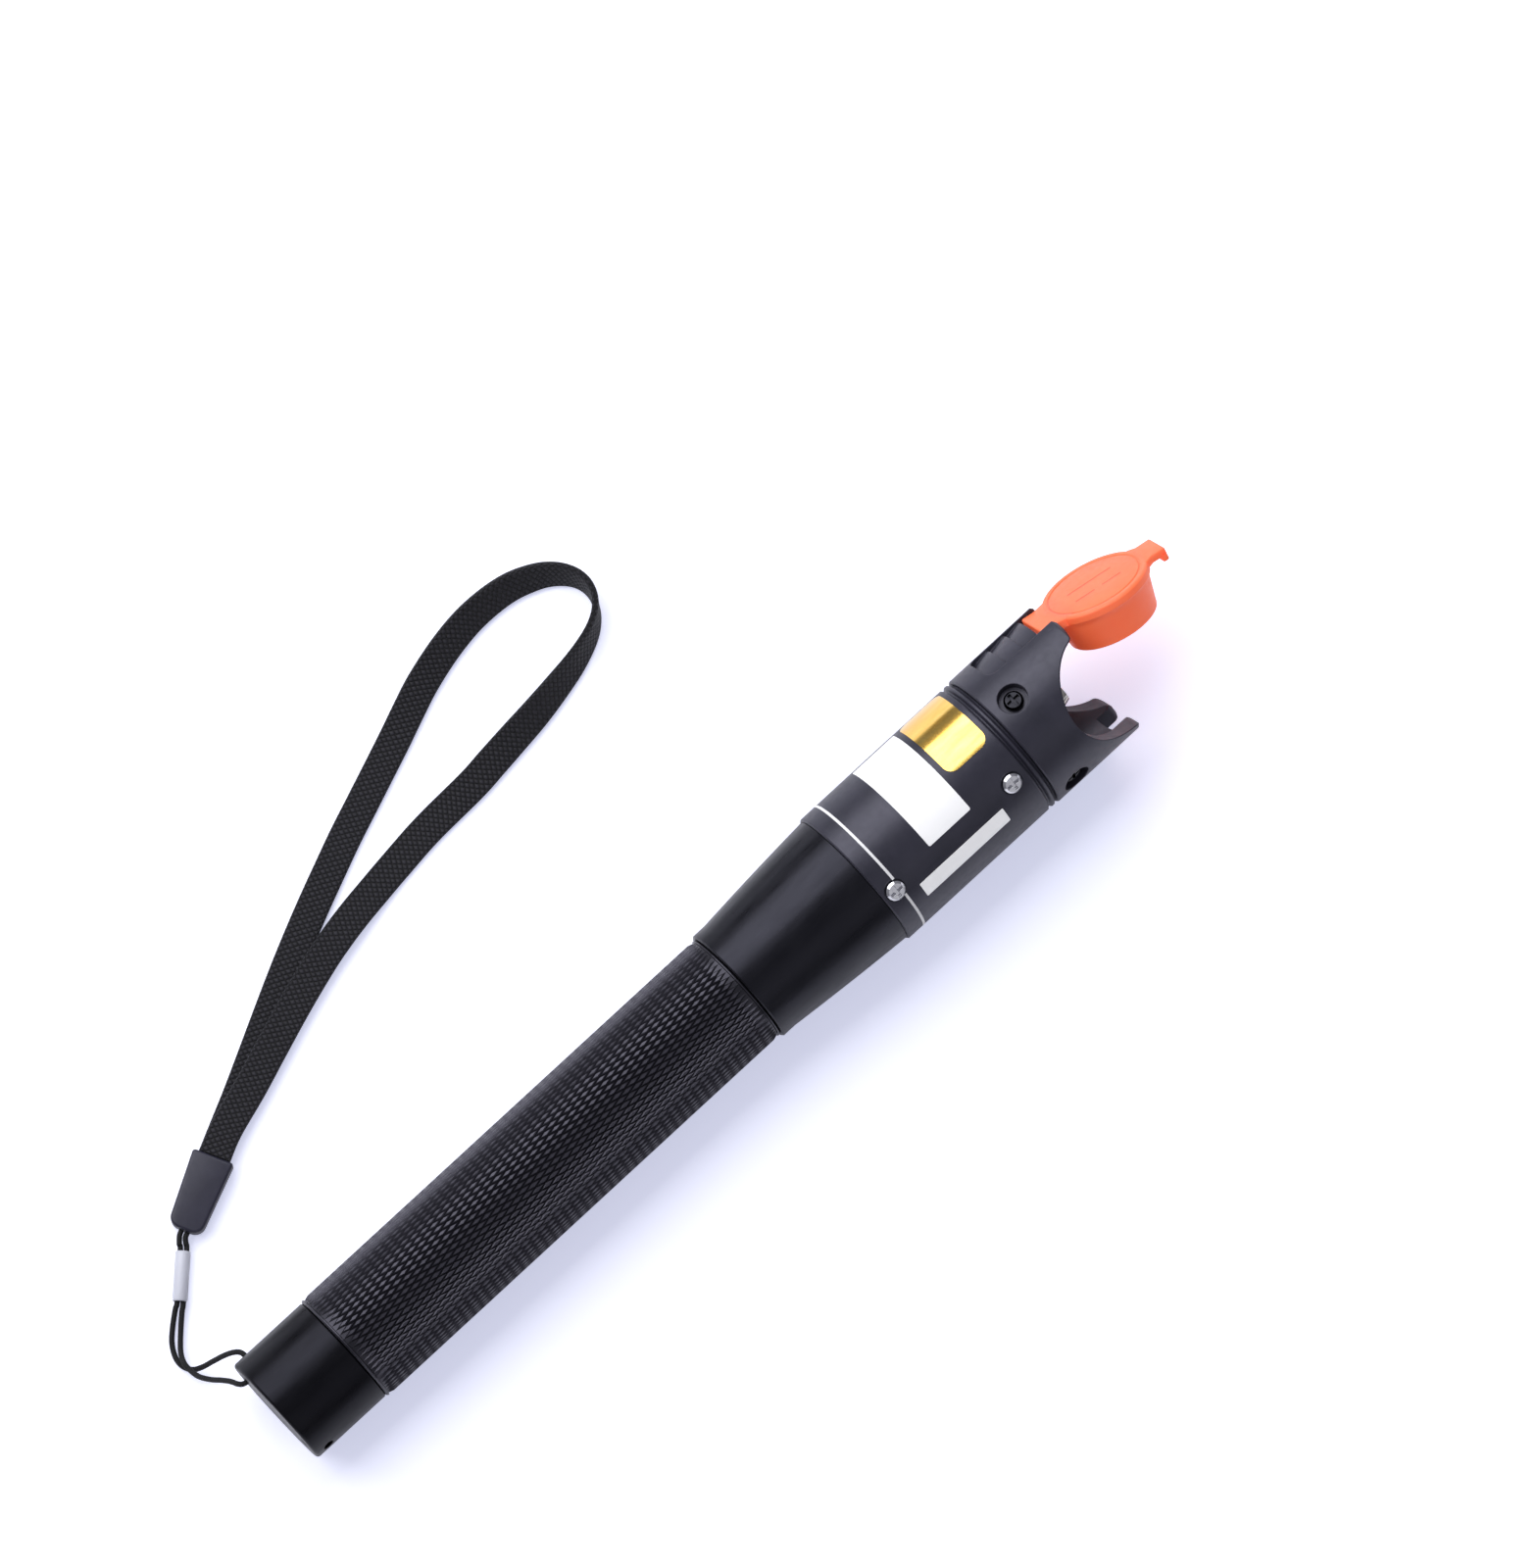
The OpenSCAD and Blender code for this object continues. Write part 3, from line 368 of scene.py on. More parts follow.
def orange():
    s = Shader("orange_rubber", (255, 128, 86), 0.4)
    uv = s.node("ShaderNodeSeparateXYZ")
    s.link(s.coords.outputs["UV"], uv.inputs["Vector"])
    marks = None
    for side, middle, half in LID_LINES:
        aside = s.math("ABSOLUTE", s.math("SUBTRACT", uv.outputs["X"], side))
        off = s.math("ABSOLUTE", s.math("SUBTRACT", uv.outputs["Y"], middle))
        mark = s.math("MULTIPLY", s.ramp(aside, 0.12, 0.26, 1, 0), s.ramp(off, half, half + 0.15, 1, 0))
        marks = mark if marks is None else s.math("MAXIMUM", marks, mark)
    out = s.math("SQRT", s.math("ADD", s.math("MULTIPLY", uv.outputs["X"], uv.outputs["X"]),
                                s.math("MULTIPLY", uv.outputs["Y"], uv.outputs["Y"])))
    ring = s.ramp(s.math("ABSOLUTE", s.math("SUBTRACT", out, LID_RING_R)), 0.1, 0.22, 0.7, 0)
    marks = s.math("MAXIMUM", marks, ring)
    top = s.node("ShaderNodeAttribute", attribute_name="top")
    marks = s.math("MULTIPLY", marks, top.outputs["Fac"])
    # Colour: random tone, and darker orange in the engraved lines and ring as painted shade in the grooves
    depth = s.math("SUBTRACT", s.ramp(s.noise(220, 5), 0.3, 0.75, 0, 0.25), marks)
    s.tint(s.ramp(depth, -1.0, 0.3, 1, 0), (255, 132, 86), (226, 84, 48))
    s.roughness(s.noise(1200, 4), 0.36, 0.5)
    s.bump(s.math("MULTIPLY", marks, -1.0), 0.2, 0.8)
    s.bump(s.noise(5200, 3), 0.008, 0.5)
    # The cap glows faintly orange: painted light that lifts its shaded sides
    s.set("Emission Color", linear((255, 84, 40)) + (1.0,))
    s.set("Emission Strength", 0.27)
    s.set("Subsurface Weight", 0.25)
    s.set("Subsurface Radius", (1.0, 0.25, 0.1))
    s.set("Subsurface Scale", 0.0015)
    return s.material


def plastic(name, rgb, rough):
    return rubber(name, rgb, rough, bump=0.006)


def paper(name, rgb):
    s = Shader(name, rgb, 0.35)
    s.tint(s.ramp(s.noise(700, 6), 0.3, 0.7, 0, 1), rgb, tuple(c - 6 for c in rgb))
    s.bump(s.noise(1800, 4), 0.01, 0.5)
    s.set("Coat Weight", 0.3)
    s.set("Coat Roughness", 0.25)
    # The labels glow a little: painted light that keeps their shaded side white
    s.set("Emission Color", (1, 1, 1, 1))
    s.set("Emission Strength", 0.2)
    return s.material


# Two families of slanting strands, that many across and one pitch along
def weave(name, across, pitch, depth, light=(44, 43, 50)):
    gap_shade = (5, 5, 6)
    s = Shader(name, gap_shade, 0.62)
    uv = s.node("ShaderNodeSeparateXYZ")
    s.link(s.coords.outputs["UV"], uv.inputs["Vector"])
    a = s.math("MULTIPLY", uv.outputs["X"], TAU * across)
    b = s.math("MULTIPLY", uv.outputs["Y"], TAU / pitch)
    one = s.math("SINE", s.math("ADD", a, b))
    two = s.math("SINE", s.math("SUBTRACT", a, b))
    cross = s.math("MULTIPLY", one, two)
    strand = s.math("POWER", s.math("ABSOLUTE", cross), 0.6)
    # Every other cell is lifted in the bump and, in the colour, given a painted highlight
    turned_lift_and_highlight = s.ramp(cross, -0.1, 0.1, 0.0, 0.3)
    fibre = s.noise(6000)
    height = s.math("ADD", s.math("ADD", strand, turned_lift_and_highlight), s.math("MULTIPLY", fibre, 0.4))
    # Colour: painted shade in the gaps between strands, lighter on the strand tops, with a painted highlight on
    # every other cell
    s.tint(s.ramp(height, 0.45, 1.5, 0, 1), gap_shade, light)
    s.bump(height, depth, 1.0)
    s.set("Specular IOR Level", 0.35)
    s.set("Sheen Weight", 0.05)
    s.set("Sheen Roughness", 0.5)
    s.set("Sheen Tint", (0.8, 0.8, 0.9, 1.0))
    return s.material


def clear(name, rgb, rough, transmission=1.0):
    s = Shader(name, rgb, rough)
    s.set("Transmission Weight", transmission)
    s.set("IOR", 1.45)
    s.roughness(s.noise(900, 3), rough, rough + 0.1)
    s.bump(s.noise(2400, 3), 0.004, 0.4)
    return s.material


M_CHARCOAL = charcoal()
M_BLACK = gloss_black("anodised_black", (6, 6, 8), 0.3, 0.36)
# The tail cap gets a duller, darker copy of the same black: painted shade for the weaker light at the tail end
M_TAIL_SHADED_COPY = gloss_black("anodised_black_shaded_copy", (5, 5, 6), 0.3, 0.21)
M_KNURL = knurl_metal()
M_CHROME = metal("screw_chrome", (226, 226, 230), 0.14)
# The shroud screws are coloured dark grey: painted shade of the holes they sit in
M_SCREW_RECESS_SHADE = metal("screw_recess_shade", (46, 46, 50), 0.22)
M_NICKEL = metal("port_nickel", (208, 204, 196), 0.2)
M_STEEL = metal("spring_steel", (186, 187, 191), 0.25)
M_BRASS = metal("contact_brass", (222, 186, 108), 0.22)
M_TIN = metal("switch_frame", (176, 177, 181), 0.35)
M_BLOCK = metal("block_metal", (88, 88, 92), 0.35)
M_GOLD = gold_plate()
M_ORANGE = orange()
M_SEAL = rubber("seal_rubber", (26, 26, 28), 0.5)
M_KNOB = plastic("matte_charcoal", (34, 34, 38), 0.5)
M_INSULATOR = plastic("insulator", (212, 206, 190), 0.45)
M_BOARD = plastic("circuit_board", (24, 88, 56), 0.3)
M_CELL = plastic("cell_wrap", (52, 108, 72), 0.3)
M_CERAMIC = plastic("white_ceramic", (240, 238, 228), 0.18)
M_CRIMP = plastic("crimp_plastic", (44, 43, 60), 0.42)
M_PAPER = paper("label_paper", (255, 255, 255))
M_PAINT = plastic("white_paint", (250, 250, 250), 0.4)
M_STRAP = weave("strap_weave", 6, 2.0, 0.2)
M_CORD = weave("cord_weave", 3, 0.9, 0.05, light=(24, 24, 27))
M_GLASS = clear("clear_glass", (238, 246, 250), 0.02)
M_SLEEVE = clear("clear_sleeve", (240, 242, 252), 0.3, transmission=0.3)


# Materials on the solids that stay
def dress(material, *names):
    for name in names:
        mesh = nodes[name].data
        if not mesh.materials:
            mesh.materials.append(material)
        for i in range(len(mesh.materials)):
            mesh.materials[i] = material


dress(M_CHARCOAL, "front_body", "collar_ring", "head_shroud")
dress(M_BLACK, "neck_cone")
dress(M_TAIL_SHADED_COPY, "tail_cap")
dress(M_KNURL, "battery_tube")
dress(M_CHROME, "body_screws")
dress(M_SCREW_RECESS_SHADE, "shroud_screws")
dress(M_NICKEL, "port_barrel", "port_nut")
dress(M_STEEL, "tail_spring", "cap_hinge_pin")
dress(M_BRASS, "tail_contact", "front_contact", "laser_diode", "lens_ring")
dress(M_TIN, "slide_switch")
dress(M_BLOCK, "laser_block")
dress(M_SEAL, "tail_o_ring", "front_o_ring")
dress(M_KNOB, "switch_knob")
dress(M_INSULATOR, "contact_block", "switch_lever")
dress(M_BOARD, "driver_board")
dress(M_CELL, "battery_rear", "battery_front")
dress(M_CERAMIC, "port_sleeve")
dress(M_ORANGE, "cap_lid")
dress(M_GLASS, "lens")
dress(M_CRIMP, "lanyard_crimp")
dress(M_SLEEVE, "lanyard_sleeve")
dress(M_CORD, "lanyard_cord")
dress(M_STRAP, "lanyard_strap")


# Camera
cam_data = bpy.data.cameras.new("camera")
cam_data.lens = 231.43
cam_data.sensor_width = 36
cam_data.clip_end = 20
camera = bpy.data.objects.new("camera", cam_data)
camera.location = (-0.225, -0.181, 1.58)
camera.rotation_euler = [math.radians(a) for a in (9.7169, 0.1859, -42.9502)]
bpy.context.scene.collection.objects.link(camera)
bpy.context.scene.camera = camera


# Thin cord: x, y and the height of its centre over the bench
CORD_ROUTE = [
    (-160.5, 32.5, 1.6), (-161.3, 32.1, 1.6), (-162.3, 31.1, 1.4), (-162.9, 30.2, 1.25),
    (-168.7, 24.6, 1.25), (-169.6, 24, 1.1), (-171.9, 22.2, 0.6), (-173.8, 20.3, 0.5),
    (-174.9, 18.2, 0.5), (-175, 16.4, 0.55), (-174.2, 14.9, 1.1), (-172.8, 14, 2.4),
    (-171, 13.3, 4.3), (-169.3, 12.6, 6.1), (-167.9, 11.8, 7.5), (-167, 10.8, 8),
    (-166.9, 9, 8.3), (-166.95, 7.4, 8.58), (-167.5, 6.8, 8.68), (-168.4, 6.8, 8.68),
    (-169.9, 6.8, 8.68), (-170.7, 7.4, 8.3), (-171.3, 8.7, 7.3), (-172.2, 10, 6),
    (-173.3, 11.4, 4.4), (-174.3, 13.2, 3), (-174.6, 15, 2.15), (-174.5, 16.6, 1.9),
    (-173.6, 18.4, 1.2), (-171.6, 20.6, 1), (-169.2, 22.9, 1.25), (-168, 23.9, 1.25),
    (-162.2, 29.5, 1.25), (-161.5, 30.4, 1.4), (-160.9, 31.2, 1.6), (-160.1, 31.6, 1.6)]
CORD_D = 0.9


def circle(r, n):
    return [(r * math.cos(TAU * k / n), -r * math.sin(TAU * k / n)) for k in range(n)]


cord_path = [Vector((x, y, bench(x) + h)) for x, y, h in catmull(CORD_ROUTE, 0.25)]
verts, faces, uvs = sweep(cord_path, circle(CORD_D / 2, 14))
cord = piece("cord", verts, faces, M_CORD, "tail", uvs=uvs)
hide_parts("lanyard_cord")

# Woven strap: x, y, roll about its own length, and lift over lying flat on the bench
STRAP_ROUTE = [
    (-148.7, 37.8, 0, 0.5), (-144.4, 39.9, 0, 0.35), (-139.5, 42.3, 0, 0), (-134, 45.1, 0, 0),
    (-128, 48.2, 0, 0), (-122.5, 51, 0, 0), (-117, 53.7, 0, 0), (-110.5, 56.7, 0, 0),
    (-104, 59.5, 0, 0), (-98.5, 61.8, 0, 0), (-93, 63.9, 0, 0), (-87.5, 66, 0, 0),
    (-82, 68.1, 4, 0), (-77.5, 69.9, 9, 0), (-73, 71.6, 15, 0), (-68, 73, 22, 0),
    (-63.5, 73.9, 26, 0), (-59.5, 74.3, 31, 0), (-55.5, 74.2, 36, 0), (-52, 73.7, 41, 0),
    (-49, 72.7, 47, 0), (-46.3, 71.3, 55, 0), (-44.2, 69.4, 63, 0), (-42.9, 67.2, 72, 0),
    (-42.6, 64.8, 81, 0), (-43.4, 62.4, 90, 0), (-45.2, 60.4, 99, 0), (-48, 58.8, 109, 0),
    (-52.5, 57.4, 122, 0), (-58, 56.4, 136, 0), (-63, 55.7, 148, 0), (-68, 55.2, 158, 0),
    (-73, 54.7, 167, 0), (-78, 54.2, 174, 0), (-88, 53.8, 180, 0), (-96, 52.9, 180, 0),
    (-101, 52.2, 180, 0.3), (-106, 51.4, 180, 0.9), (-110.5, 50.5, 180, 1.2), (-115, 49.4, 180, 1.2),
    (-122.5, 47.1, 180, 1.2), (-130, 44.5, 180, 1.2), (-137, 42, 180, 1.25), (-144.4, 39.6, 180, 1.55),
    (-148.7, 37.6, 180, 1.7)]
STRAP_W = 5.3
STRAP_T = 1.1


def strap_section():
    half_w = STRAP_W / 2
    half_t = STRAP_T / 2
    r = 0.42
    points = []
    for cx, cy, start in ((half_w - r, -half_t + r, 0), (-half_w + r, -half_t + r, 90),
                          (-half_w + r, half_t - r, 180), (half_w - r, half_t - r, 270)):
        for k in range(5):
            a = math.radians(start + 90 * k / 4)
            points.append((cx + r * math.cos(a), cy - r * math.sin(a)))
    dense = []
    for a, b in zip(points, points[1:] + points[:1]):
        gap = math.hypot(b[0] - a[0], b[1] - a[1])
        count = max(1, round(gap / 0.35))
        for k in range(count):
            dense.append((a[0] + (b[0] - a[0]) * k / count, a[1] + (b[1] - a[1]) * k / count))
    return dense


dense = catmull(STRAP_ROUTE, 0.5)
strap_path = []
strap_rolls = []
for x, y, roll, lift in dense:
    turn = math.radians(roll)
    h = lift + STRAP_W / 2 * abs(math.sin(turn)) + STRAP_T / 2 * abs(math.cos(turn))
    strap_path.append(Vector((x, y, bench(x) + h)))
    strap_rolls.append(roll)
verts, faces, uvs = sweep(strap_path, strap_section(), strap_rolls)
strap = piece("strap", verts, faces, M_STRAP, "tail", uvs=uvs)
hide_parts("lanyard_strap")


# Sleeve over the cord's two strands
SLEEVE_ENDS = ((-162.6, 29.9), (-168.4, 24.3))
SLEEVE_R = 1.25


def sleeve_piece():
    a, b = [Vector((x, y, bench(x) + SLEEVE_R)) for x, y in SLEEVE_ENDS]
    length = (b - a).length
    profile = [(0, 1.04), (0.1, 1.18), (0.3, SLEEVE_R), (length * 0.5, SLEEVE_R - 0.03),
               (length - 0.3, SLEEVE_R), (length - 0.1, 1.18), (length, 1.04),
               (length - 0.2, 1.03), (0.2, 1.03)]
    vs, fs = lathe(profile, 40)
    turn = (b - a).to_track_quat("X", "Z").to_matrix().to_4x4()
    return moved(vs, Matrix.Translation(a) @ turn), fs


verts, faces = sleeve_piece()
sleeve = piece("sleeve", verts, faces, M_SLEEVE, "tail")
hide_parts("lanyard_sleeve")


# Crimp with a rounded narrow end
CRIMP_LEN = 12.7
CRIMP_T = 3.2
CRIMP_X = -154.6
CRIMP_Y = 34.9
CRIMP_TURN = 26


def crimp_piece():
    half = CRIMP_LEN / 2
    narrow = 2.9
    wide = 3.45
    blunt = 1.8
    crisp = 0.5
    outline = (arc(blunt - half, blunt - narrow, blunt, 180, 270, 8)
               + arc(half - crisp, crisp - wide, crisp, 270, 360, 4)
               + arc(half - crisp, wide - crisp, crisp, 0, 90, 4)
               + arc(blunt - half, narrow - blunt, blunt, 90, 180, 8))
    vs, fs = outline_solid(outline, CRIMP_T)
    vs, fs = bevelled(vs, fs, 0.55, 4, 50)
    place = (Matrix.Translation((CRIMP_X, CRIMP_Y, bench(CRIMP_X)))
             @ Matrix.Rotation(math.atan(SLOPE), 4, "Y")
             @ Matrix.Rotation(math.radians(CRIMP_TURN), 4, "Z"))
    return moved(vs, place), fs


verts, faces = crimp_piece()
crimp = piece("crimp", verts, faces, M_CRIMP, "tail")
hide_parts("lanyard_crimp")


# Knurled grip: flat-topped pyramids between two families of helical grooves
SPIGOT_R = 8.8
BORE_R = 7.5
REAR_SPIGOT = 9.3
FRONT_SPIGOT = 9.0
SEAL_R = 8.03
SEAL_FROM = 1.55
SEAL_TO = 2.85
KNURL_STARTS = 66
KNURL_DEPTH = 0.3
KNURL_PITCH = 3.4
KNURL_FLAT = 0.48
RIM = 0.6


def grip_piece():
    starts = KNURL_STARTS
    peak = GRIP_R
    valley = GRIP_R - KNURL_DEPTH
    first = X_NECK - RIM
    last = X_GRIP + RIM
    rows = int((first - last) / KNURL_PITCH)
    pitch = (first - last) / rows
    verts = []
    heights = []
    faces = []

    def point(x, a, r, h):
        verts.append((x, r * math.sin(a), r * math.cos(a)))
        heights.append(h)
        return len(verts) - 1

    corners = []
    for j in range(2 * rows + 1):
        shift = 0.5 if j % 2 else 0.0
        x = last + pitch * j / 2
        corners.append([point(x, TAU * (k + shift) / starts, valley, 0.0) for k in range(starts)])
    for j in range(2 * rows - 1):
        shift = 0.5 if j % 2 else 0.0
        x = last + pitch * (j + 1) / 2
        for k in range(starts):
            down = corners[j][k]
            up = corners[j + 2][k]
            if j % 2 == 0:
                side_r = corners[j + 1][k]
                side_l = corners[j + 1][(k - 1) % starts]
                centre = TAU * k / starts
            else:
                side_l = corners[j + 1][k]
                side_r = corners[j + 1][(k + 1) % starts]
                centre = TAU * (k + 0.5) / starts
            half_a = TAU / starts / 2 * KNURL_FLAT
            half_x = pitch / 2 * KNURL_FLAT
            top_l = point(x, centre - half_a, peak, 1.0)
            top_r = point(x, centre + half_a, peak, 1.0)
            top_d = point(x - half_x, centre, peak, 1.0)
            top_u = point(x + half_x, centre, peak, 1.0)
            faces.append([top_l, top_d, top_r, top_u])
            faces.append([down, side_r, top_r, top_d])
            faces.append([side_r, up, top_u, top_r])
            faces.append([up, side_l, top_l, top_u])
            faces.append([side_l, down, top_d, top_l])
    for row_a, row_b in ((corners[0], corners[1]), (corners[-1], corners[-2])):
        for k in range(starts):
            n = (k + 1) % starts
            faces.append([row_a[k], row_a[n], row_b[k]])
    for row, x_end, x_flange in ((corners[0], last, X_GRIP + 0.05), (corners[-1], first, X_NECK - 0.05)):
        sign = 1 if x_end > x_flange else -1
        prev = row
        for x, r, h in ((x_end - sign * 0.12, GRIP_R - 0.02, 0.5), (x_flange + sign * 0.25, GRIP_R - 0.02, 0.5),
                        (x_flange, GRIP_R - 0.28, 0.3), (x_flange, SPIGOT_R, 0.1)):
            ring = [point(x, TAU * k / starts, r, h) for k in range(starts)]
            for k in range(starts):
                n = (k + 1) % starts
                faces.append([prev[k], prev[n], ring[n], ring[k]])
            prev = ring
        if sign > 0:
            ends_rear = prev
        else:
            ends_front = prev
    for prev, spigot, x_flange in ((ends_rear, -REAR_SPIGOT, X_GRIP), (ends_front, FRONT_SPIGOT, X_NECK)):
        sign = 1 if spigot > 0 else -1
        end = x_flange + spigot
        seal_low = x_flange + sign * SEAL_FROM
        seal_high = x_flange + sign * SEAL_TO
        for x, r in ((seal_low, SPIGOT_R), (seal_low, SEAL_R), (seal_high, SEAL_R), (seal_high, SPIGOT_R),
                     (end - sign * 0.25, SPIGOT_R), (end, SPIGOT_R - 0.25), (end, BORE_R)):
            ring = [point(x, TAU * k / starts, r, 0.2) for k in range(starts)]
            for k in range(starts):
                n = (k + 1) % starts
                faces.append([prev[k], prev[n], ring[n], ring[k]])
            prev = ring
        if sign < 0:
            inner_rear = prev
        else:
            inner_front = prev
    for k in range(starts):
        n = (k + 1) % starts
        faces.append([inner_rear[k], inner_rear[n], inner_front[n], inner_front[k]])
    return verts, faces, heights


verts, faces, heights = grip_piece()
grip = piece("grip", verts, faces, M_KNURL, "pen", smooth=False)
attribute = grip.data.attributes.new("height", "FLOAT", "POINT")
attribute.data.foreach_set("value", heights)
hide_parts("battery_tube")


# Thin curved plates on the front body, each between two places along it and two angles round it
def plate(x_low, x_high, phi_low, phi_high, corner, radius, thickness):
    mid = (phi_low + phi_high) / 2
    half = math.radians(phi_high - phi_low) / 2 * radius
    columns = []
    steps = 60
    marks = [i / steps for i in range(steps + 1)]
    extra = [corner * (1 - math.cos(math.radians(90 * k / 8))) / (2 * half) for k in range(1, 8)]
    marks = sorted(set(marks + extra + [1 - e for e in extra]))
    for m in marks:
        s = -half + 2 * half * m
        d = half - abs(s)
        inset = corner - math.sqrt(max(0.0, corner ** 2 - (corner - d) ** 2)) if d < corner else 0.0
        columns.append((s, x_low + inset, x_high - inset))
    rows = 10
    verts = []
    for r in (radius, radius + thickness):
        for s, low, high in columns:
            a = math.radians(mid) + s / radius
            for k in range(rows + 1):
                x = low + (high - low) * k / rows
                verts.append((x, r * math.sin(a), r * math.cos(a)))
    n = rows + 1
    total = len(columns) * n
    faces = []
    for i in range(len(columns) - 1):
        for k in range(rows):
            a = i * n + k
            faces.append([total + a, total + a + 1, total + a + n + 1, total + a + n])
            faces.append([a, a + n, a + n + 1, a + 1])
        for k in (0, rows):
            a = i * n + k
            faces.append([a, a + n, total + a + n, total + a])
    for i in (0, len(columns) - 1):
        for k in range(rows):
            a = i * n + k
            faces.append([a, a + 1, total + a + 1, total + a])
    return verts, faces


def add_plate(name, material, slot, *shape):
    vs, fs = plate(*shape)
    obj = piece(name, vs, fs, material, "pen")
    edge = obj.modifiers.new("edge", "EDGE_SPLIT")
    edge.split_angle = math.radians(40)
    return obj


add_plate("gold_plate", M_GOLD, "contact_brass", -24, -15.5, 1, 73.5, 1.8, BODY_R, 0.1)
add_plate("label_wide", M_PAPER, "insulator", -34, -25.1, -26, 72, 0.3, BODY_R, 0.06)
add_plate("label_strip", M_PAPER, "insulator", -39, -21.1, -56.5, -43, 0.2, BODY_R, 0.06)

# The white line stops at the two rear screws
LINE_START = 154.4
LINE_SPAN = 165.2
for start in (LINE_START - 180, LINE_START):
    add_plate("ring_line", M_PAINT, "insulator", -41.93, -41.48, start, start + LINE_SPAN, 0.02, BODY_R, 0.03)


# Dust cap: smooth disc and cup, hinge arm, catch tab and engraved marks
LID_OPEN = 80
X_PIN = 3.8
PIN_R = 11.0
ARM_HALF_W = 4.05
TAB_HALF_W = 3.05
TAB_REACH = 12.3
FLARE = 0.9


def lid_piece():
    top = 0.7
    profile = [(top, 0.0), (top, 3.5), (top, 7.75), (top - 0.05, 7.85), (top - 0.2, 7.93)]
    profile += [(top - 0.22, LID_RING_R), (top - 0.18, 8.1), (top - 0.04, 8.2), (top, 8.3)]
    profile += arc(top - 0.5, 8.8, 0.5, 0, 90, 6)
    profile += [(top - 1.0, 9.3)]
    profile += arc(top - 1.3, 9.05, 0.25, 90, 150, 3)
    profile += [(top - 1.75, 8.86), (top - 2.6, 8.66), (top - 4.4, 8.28), (top - 6.9, 7.74)]
    profile += arc(top - 7.2, 7.3, 0.4, 80, 180, 5)
    profile += [(top - 7.6, 6.8)]
    profile += arc(top - 7.35, 6.6, 0.25, 180, 270, 3)
    profile += [(top - 4.5, 7.0), (top - 2.3, 7.6), (top - 1.9, 7.4), (top - 1.8, 6.8), (top - 1.8, 0.0)]
    vs, fs = lathe(profile, 144, closed=False)
    disc = moved(vs, Matrix.Translation((0, 0, -PIN_R))), fs
    wide = ARM_HALF_W + FLARE
    arm_outline = [(-3.3, -wide), (-1.0, -ARM_HALF_W), (1.25, -ARM_HALF_W), (1.25, ARM_HALF_W),
                   (-1.0, ARM_HALF_W), (-3.3, wide), (-5.4, wide), (-5.4, -wide)]
    vs, fs = outline_solid(arm_outline, 1.6)
    vs, fs = bevelled(vs, fs, 0.3, 4)
    arm = [(z + top - 1.61, y, x) for x, y, z in vs], fs
    tab_end = -PIN_R - TAB_REACH
    tab_wide = TAB_HALF_W + 1.0
    tab_outline = [(tab_end, -TAB_HALF_W), (-PIN_R - 9.6, -TAB_HALF_W), (-PIN_R - 8.2, -tab_wide),
                   (-PIN_R - 8.2, tab_wide), (-PIN_R - 9.6, TAB_HALF_W), (tab_end, TAB_HALF_W)]
    vs, fs = outline_solid(tab_outline, 1.3)
    vs, fs = bevelled(vs, fs, 0.25, 4)
    tab = [(z + top - 1.31, y, x) for x, y, z in vs], fs
    hook_low = (top - 2.3, -TAB_HALF_W, tab_end)
    hook_high = (top - 0.5, TAB_HALF_W, -PIN_R - 11.2)
    hook = bevelled(*cuboid(hook_low, hook_high), 0.3, 3)
    vs, fs = joined(disc, arm, tab, hook)
    uvs = [(y, z + PIN_R) for x, y, z in vs]
    place = (around(PRONG) @ Matrix.Translation((X_PIN, 0, PIN_R))
             @ Matrix.Rotation(-math.radians(LID_OPEN), 4, "Y"))
    on_top = [1.0 if x > top - 0.15 else 0.0 for x, y, z in vs]
    return moved(vs, place), fs, uvs, on_top


verts, faces, uvs, tops = lid_piece()
lid = piece("dust_cap", verts, faces, M_ORANGE, "lid", uvs=uvs)
attribute = lid.data.attributes.new("top", "FLOAT", "POINT")
attribute.data.foreach_set("value", tops)
split = lid.modifiers.new("edge", "EDGE_SPLIT")
split.split_angle = math.radians(50)
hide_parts("cap_lid")


# Floor: the camera sees it lifted to white, and gloss sees a part of that
FLOOR_LIFT = 0.59
FLOOR_IN_GLOSS = 0.4
FLOOR_DROP = 0.1
FLOOR_HALF = 4.0


def floor_material():
    m = bpy.data.materials.new("floor")
    m.use_nodes = True
    tree = m.node_tree
    bsdf = tree.nodes["Principled BSDF"]
    bsdf.inputs["Base Color"].default_value = (0.93, 0.93, 0.95, 1)
    bsdf.inputs["Roughness"].default_value = 0.9
    bsdf.inputs["Specular IOR Level"].default_value = 0.0
    rays = tree.nodes.new("ShaderNodeLightPath")
    lifted = tree.nodes.new("ShaderNodeMath")
    lifted.operation = "MULTIPLY"
    lifted.inputs[1].default_value = FLOOR_LIFT
    mirrored = tree.nodes.new("ShaderNodeMath")
    mirrored.operation = "MULTIPLY_ADD"
    mirrored.inputs[1].default_value = FLOOR_IN_GLOSS
    tree.links.new(rays.outputs["Is Glossy Ray"], mirrored.inputs[0])
    tree.links.new(rays.outputs["Is Camera Ray"], mirrored.inputs[2])
    shown = tree.nodes.new("ShaderNodeMath")
    shown.operation = "MAXIMUM"
    tree.links.new(mirrored.outputs[0], shown.inputs[0])
    tree.links.new(rays.outputs["Is Transmission Ray"], shown.inputs[1])
    tree.links.new(shown.outputs[0], lifted.inputs[0])
    bsdf.inputs["Emission Color"].default_value = (0.74, 0.77, 1, 1)
    tree.links.new(lifted.outputs[0], bsdf.inputs["Emission Strength"])
    return m


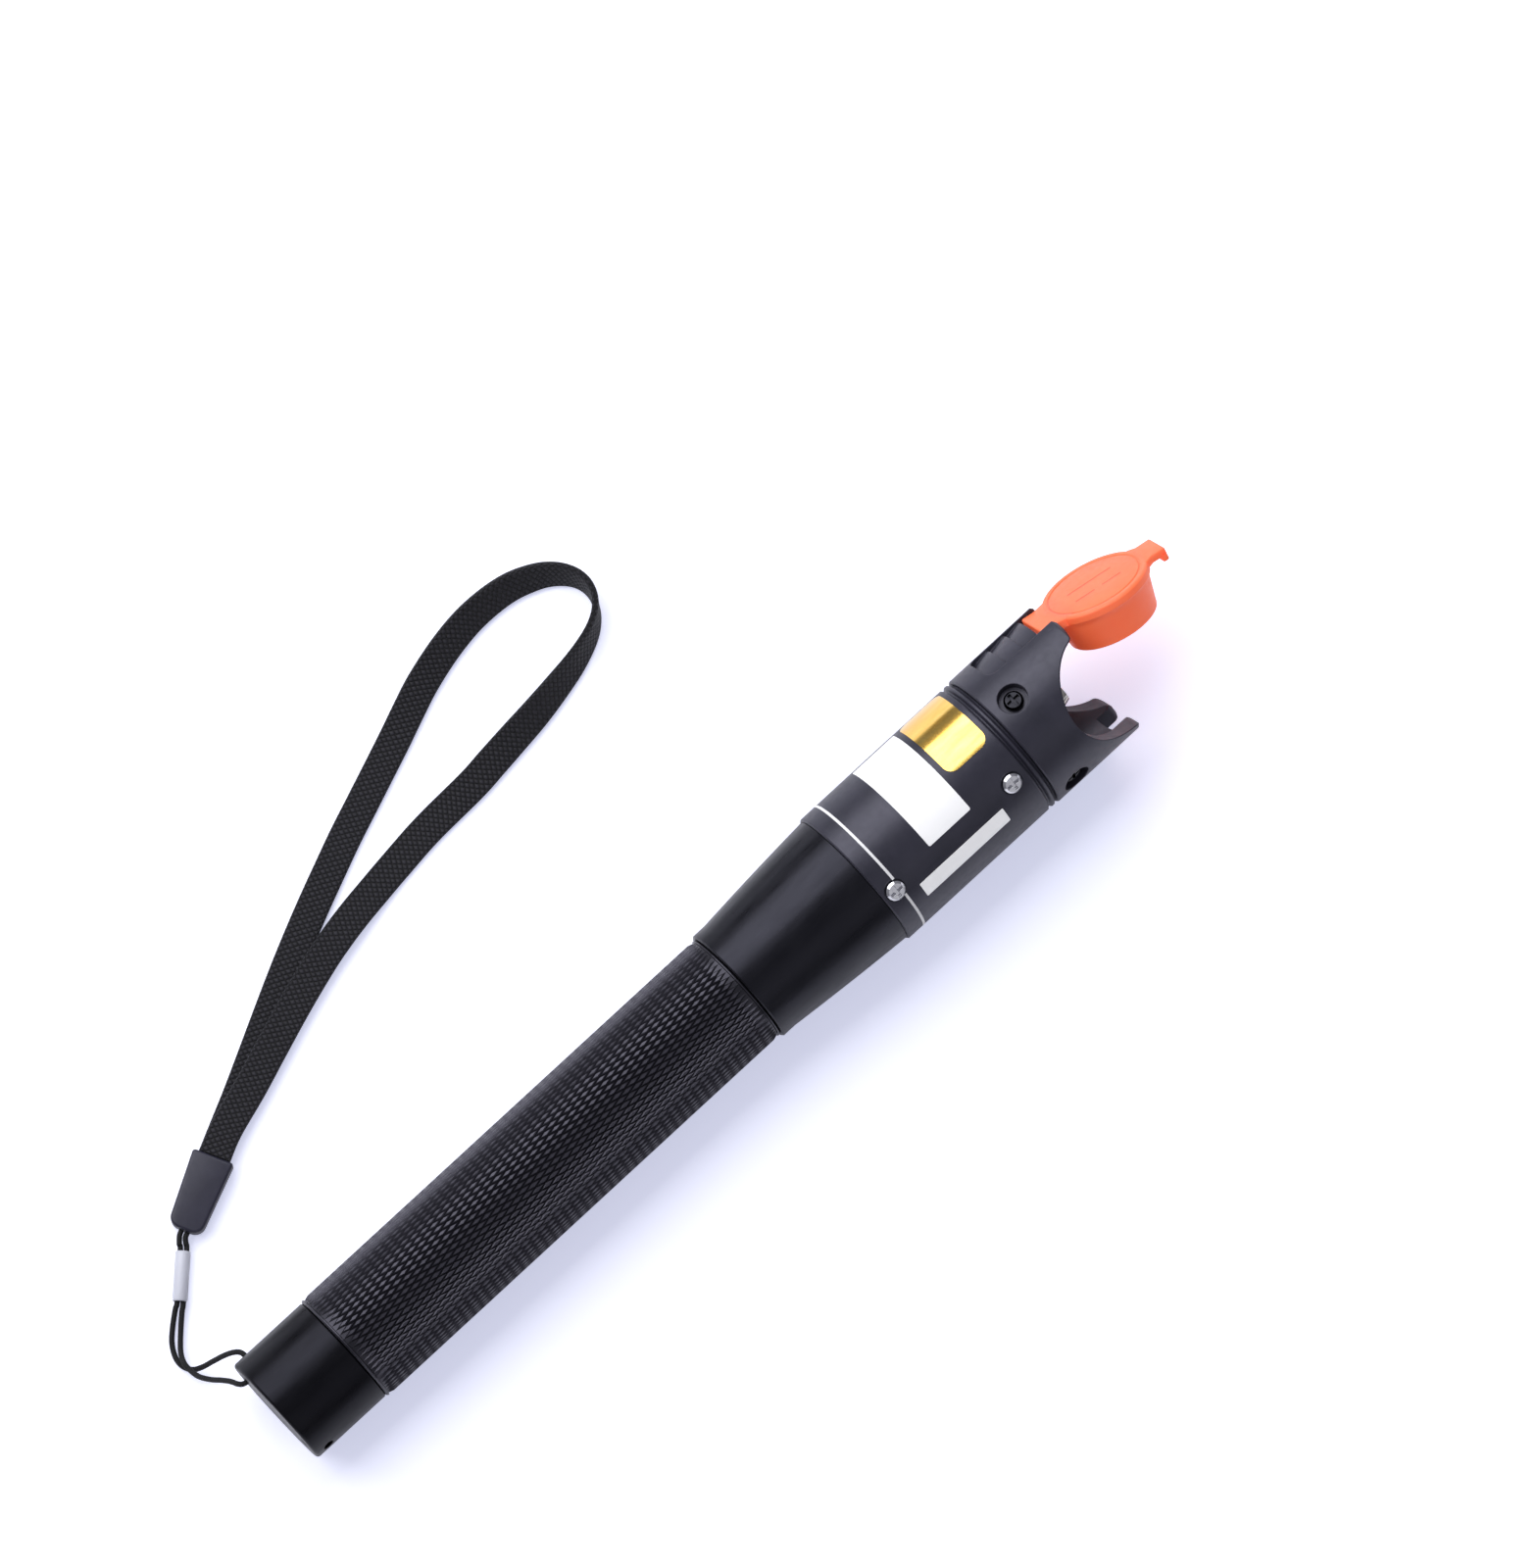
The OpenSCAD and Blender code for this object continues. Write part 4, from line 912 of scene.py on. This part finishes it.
floor_mesh = bpy.data.meshes.new("floor")
corners = [(x * FLOOR_HALF, y * FLOOR_HALF) for x, y in ((-1, -1), (1, -1), (1, 1), (-1, 1))]
floor_mesh.from_pydata([(x, y, (bench(x / MM) - FLOOR_DROP) * MM) for x, y in corners], [], [(0, 1, 2, 3)])
floor = bpy.data.objects.new("floor", floor_mesh)
floor.data.materials.append(floor_material())
bpy.context.scene.collection.objects.link(floor)


# Lights
def area(name, place, target, size, energy, color):
    data = bpy.data.lights.new(name, "AREA")
    data.shape = "RECTANGLE"
    data.size = size[0]
    data.size_y = size[1]
    data.energy = energy
    data.color = color
    obj = bpy.data.objects.new(name, data)
    obj.location = place
    direction = Vector(target) - Vector(place)
    obj.rotation_euler = direction.to_track_quat("-Z", "Y").to_euler()
    bpy.context.scene.collection.objects.link(obj)


area("key", (-0.06, 0.74, 0.9), (-0.06, 0, 0), (1.6, 1.14), 17.0, (0.965, 0.97, 1.0))
area("fill", (-0.1, -0.9, 0.82), (-0.08, 0, 0), (1.6, 0.7), 1.1, (0.97, 0.97, 1.0))


# World: a plain grey that grows paler upwards, and a pale backdrop where the camera sees it
world = bpy.data.worlds.new("world")
bpy.context.scene.world = world
world.use_nodes = True
tree = world.node_tree
background = tree.nodes["Background"]
background.inputs["Strength"].default_value = 0.27
direction = tree.nodes.new("ShaderNodeTexCoord")
split_xyz = tree.nodes.new("ShaderNodeSeparateXYZ")
rise = tree.nodes.new("ShaderNodeValToRGB")
rise.color_ramp.elements[0].position = 0.0
rise.color_ramp.elements[0].color = (0.62, 0.62, 0.7, 1)
rise.color_ramp.elements[1].position = 0.6
rise.color_ramp.elements[1].color = (0.95, 0.95, 1.06, 1)
tree.links.new(direction.outputs["Generated"], split_xyz.inputs["Vector"])
tree.links.new(split_xyz.outputs["Z"], rise.inputs["Fac"])
tree.links.new(rise.outputs["Color"], background.inputs["Color"])
pale = tree.nodes.new("ShaderNodeBackground")
pale.inputs["Color"].default_value = (0.67, 0.69, 0.87, 1)
rays = tree.nodes.new("ShaderNodeLightPath")
seen = tree.nodes.new("ShaderNodeMixShader")
tree.links.new(rays.outputs["Is Camera Ray"], seen.inputs[0])
tree.links.new(background.outputs[0], seen.inputs[1])
tree.links.new(pale.outputs[0], seen.inputs[2])
tree.links.new(seen.outputs[0], tree.nodes["World Output"].inputs["Surface"])

bpy.context.scene.view_settings.view_transform = "Standard"
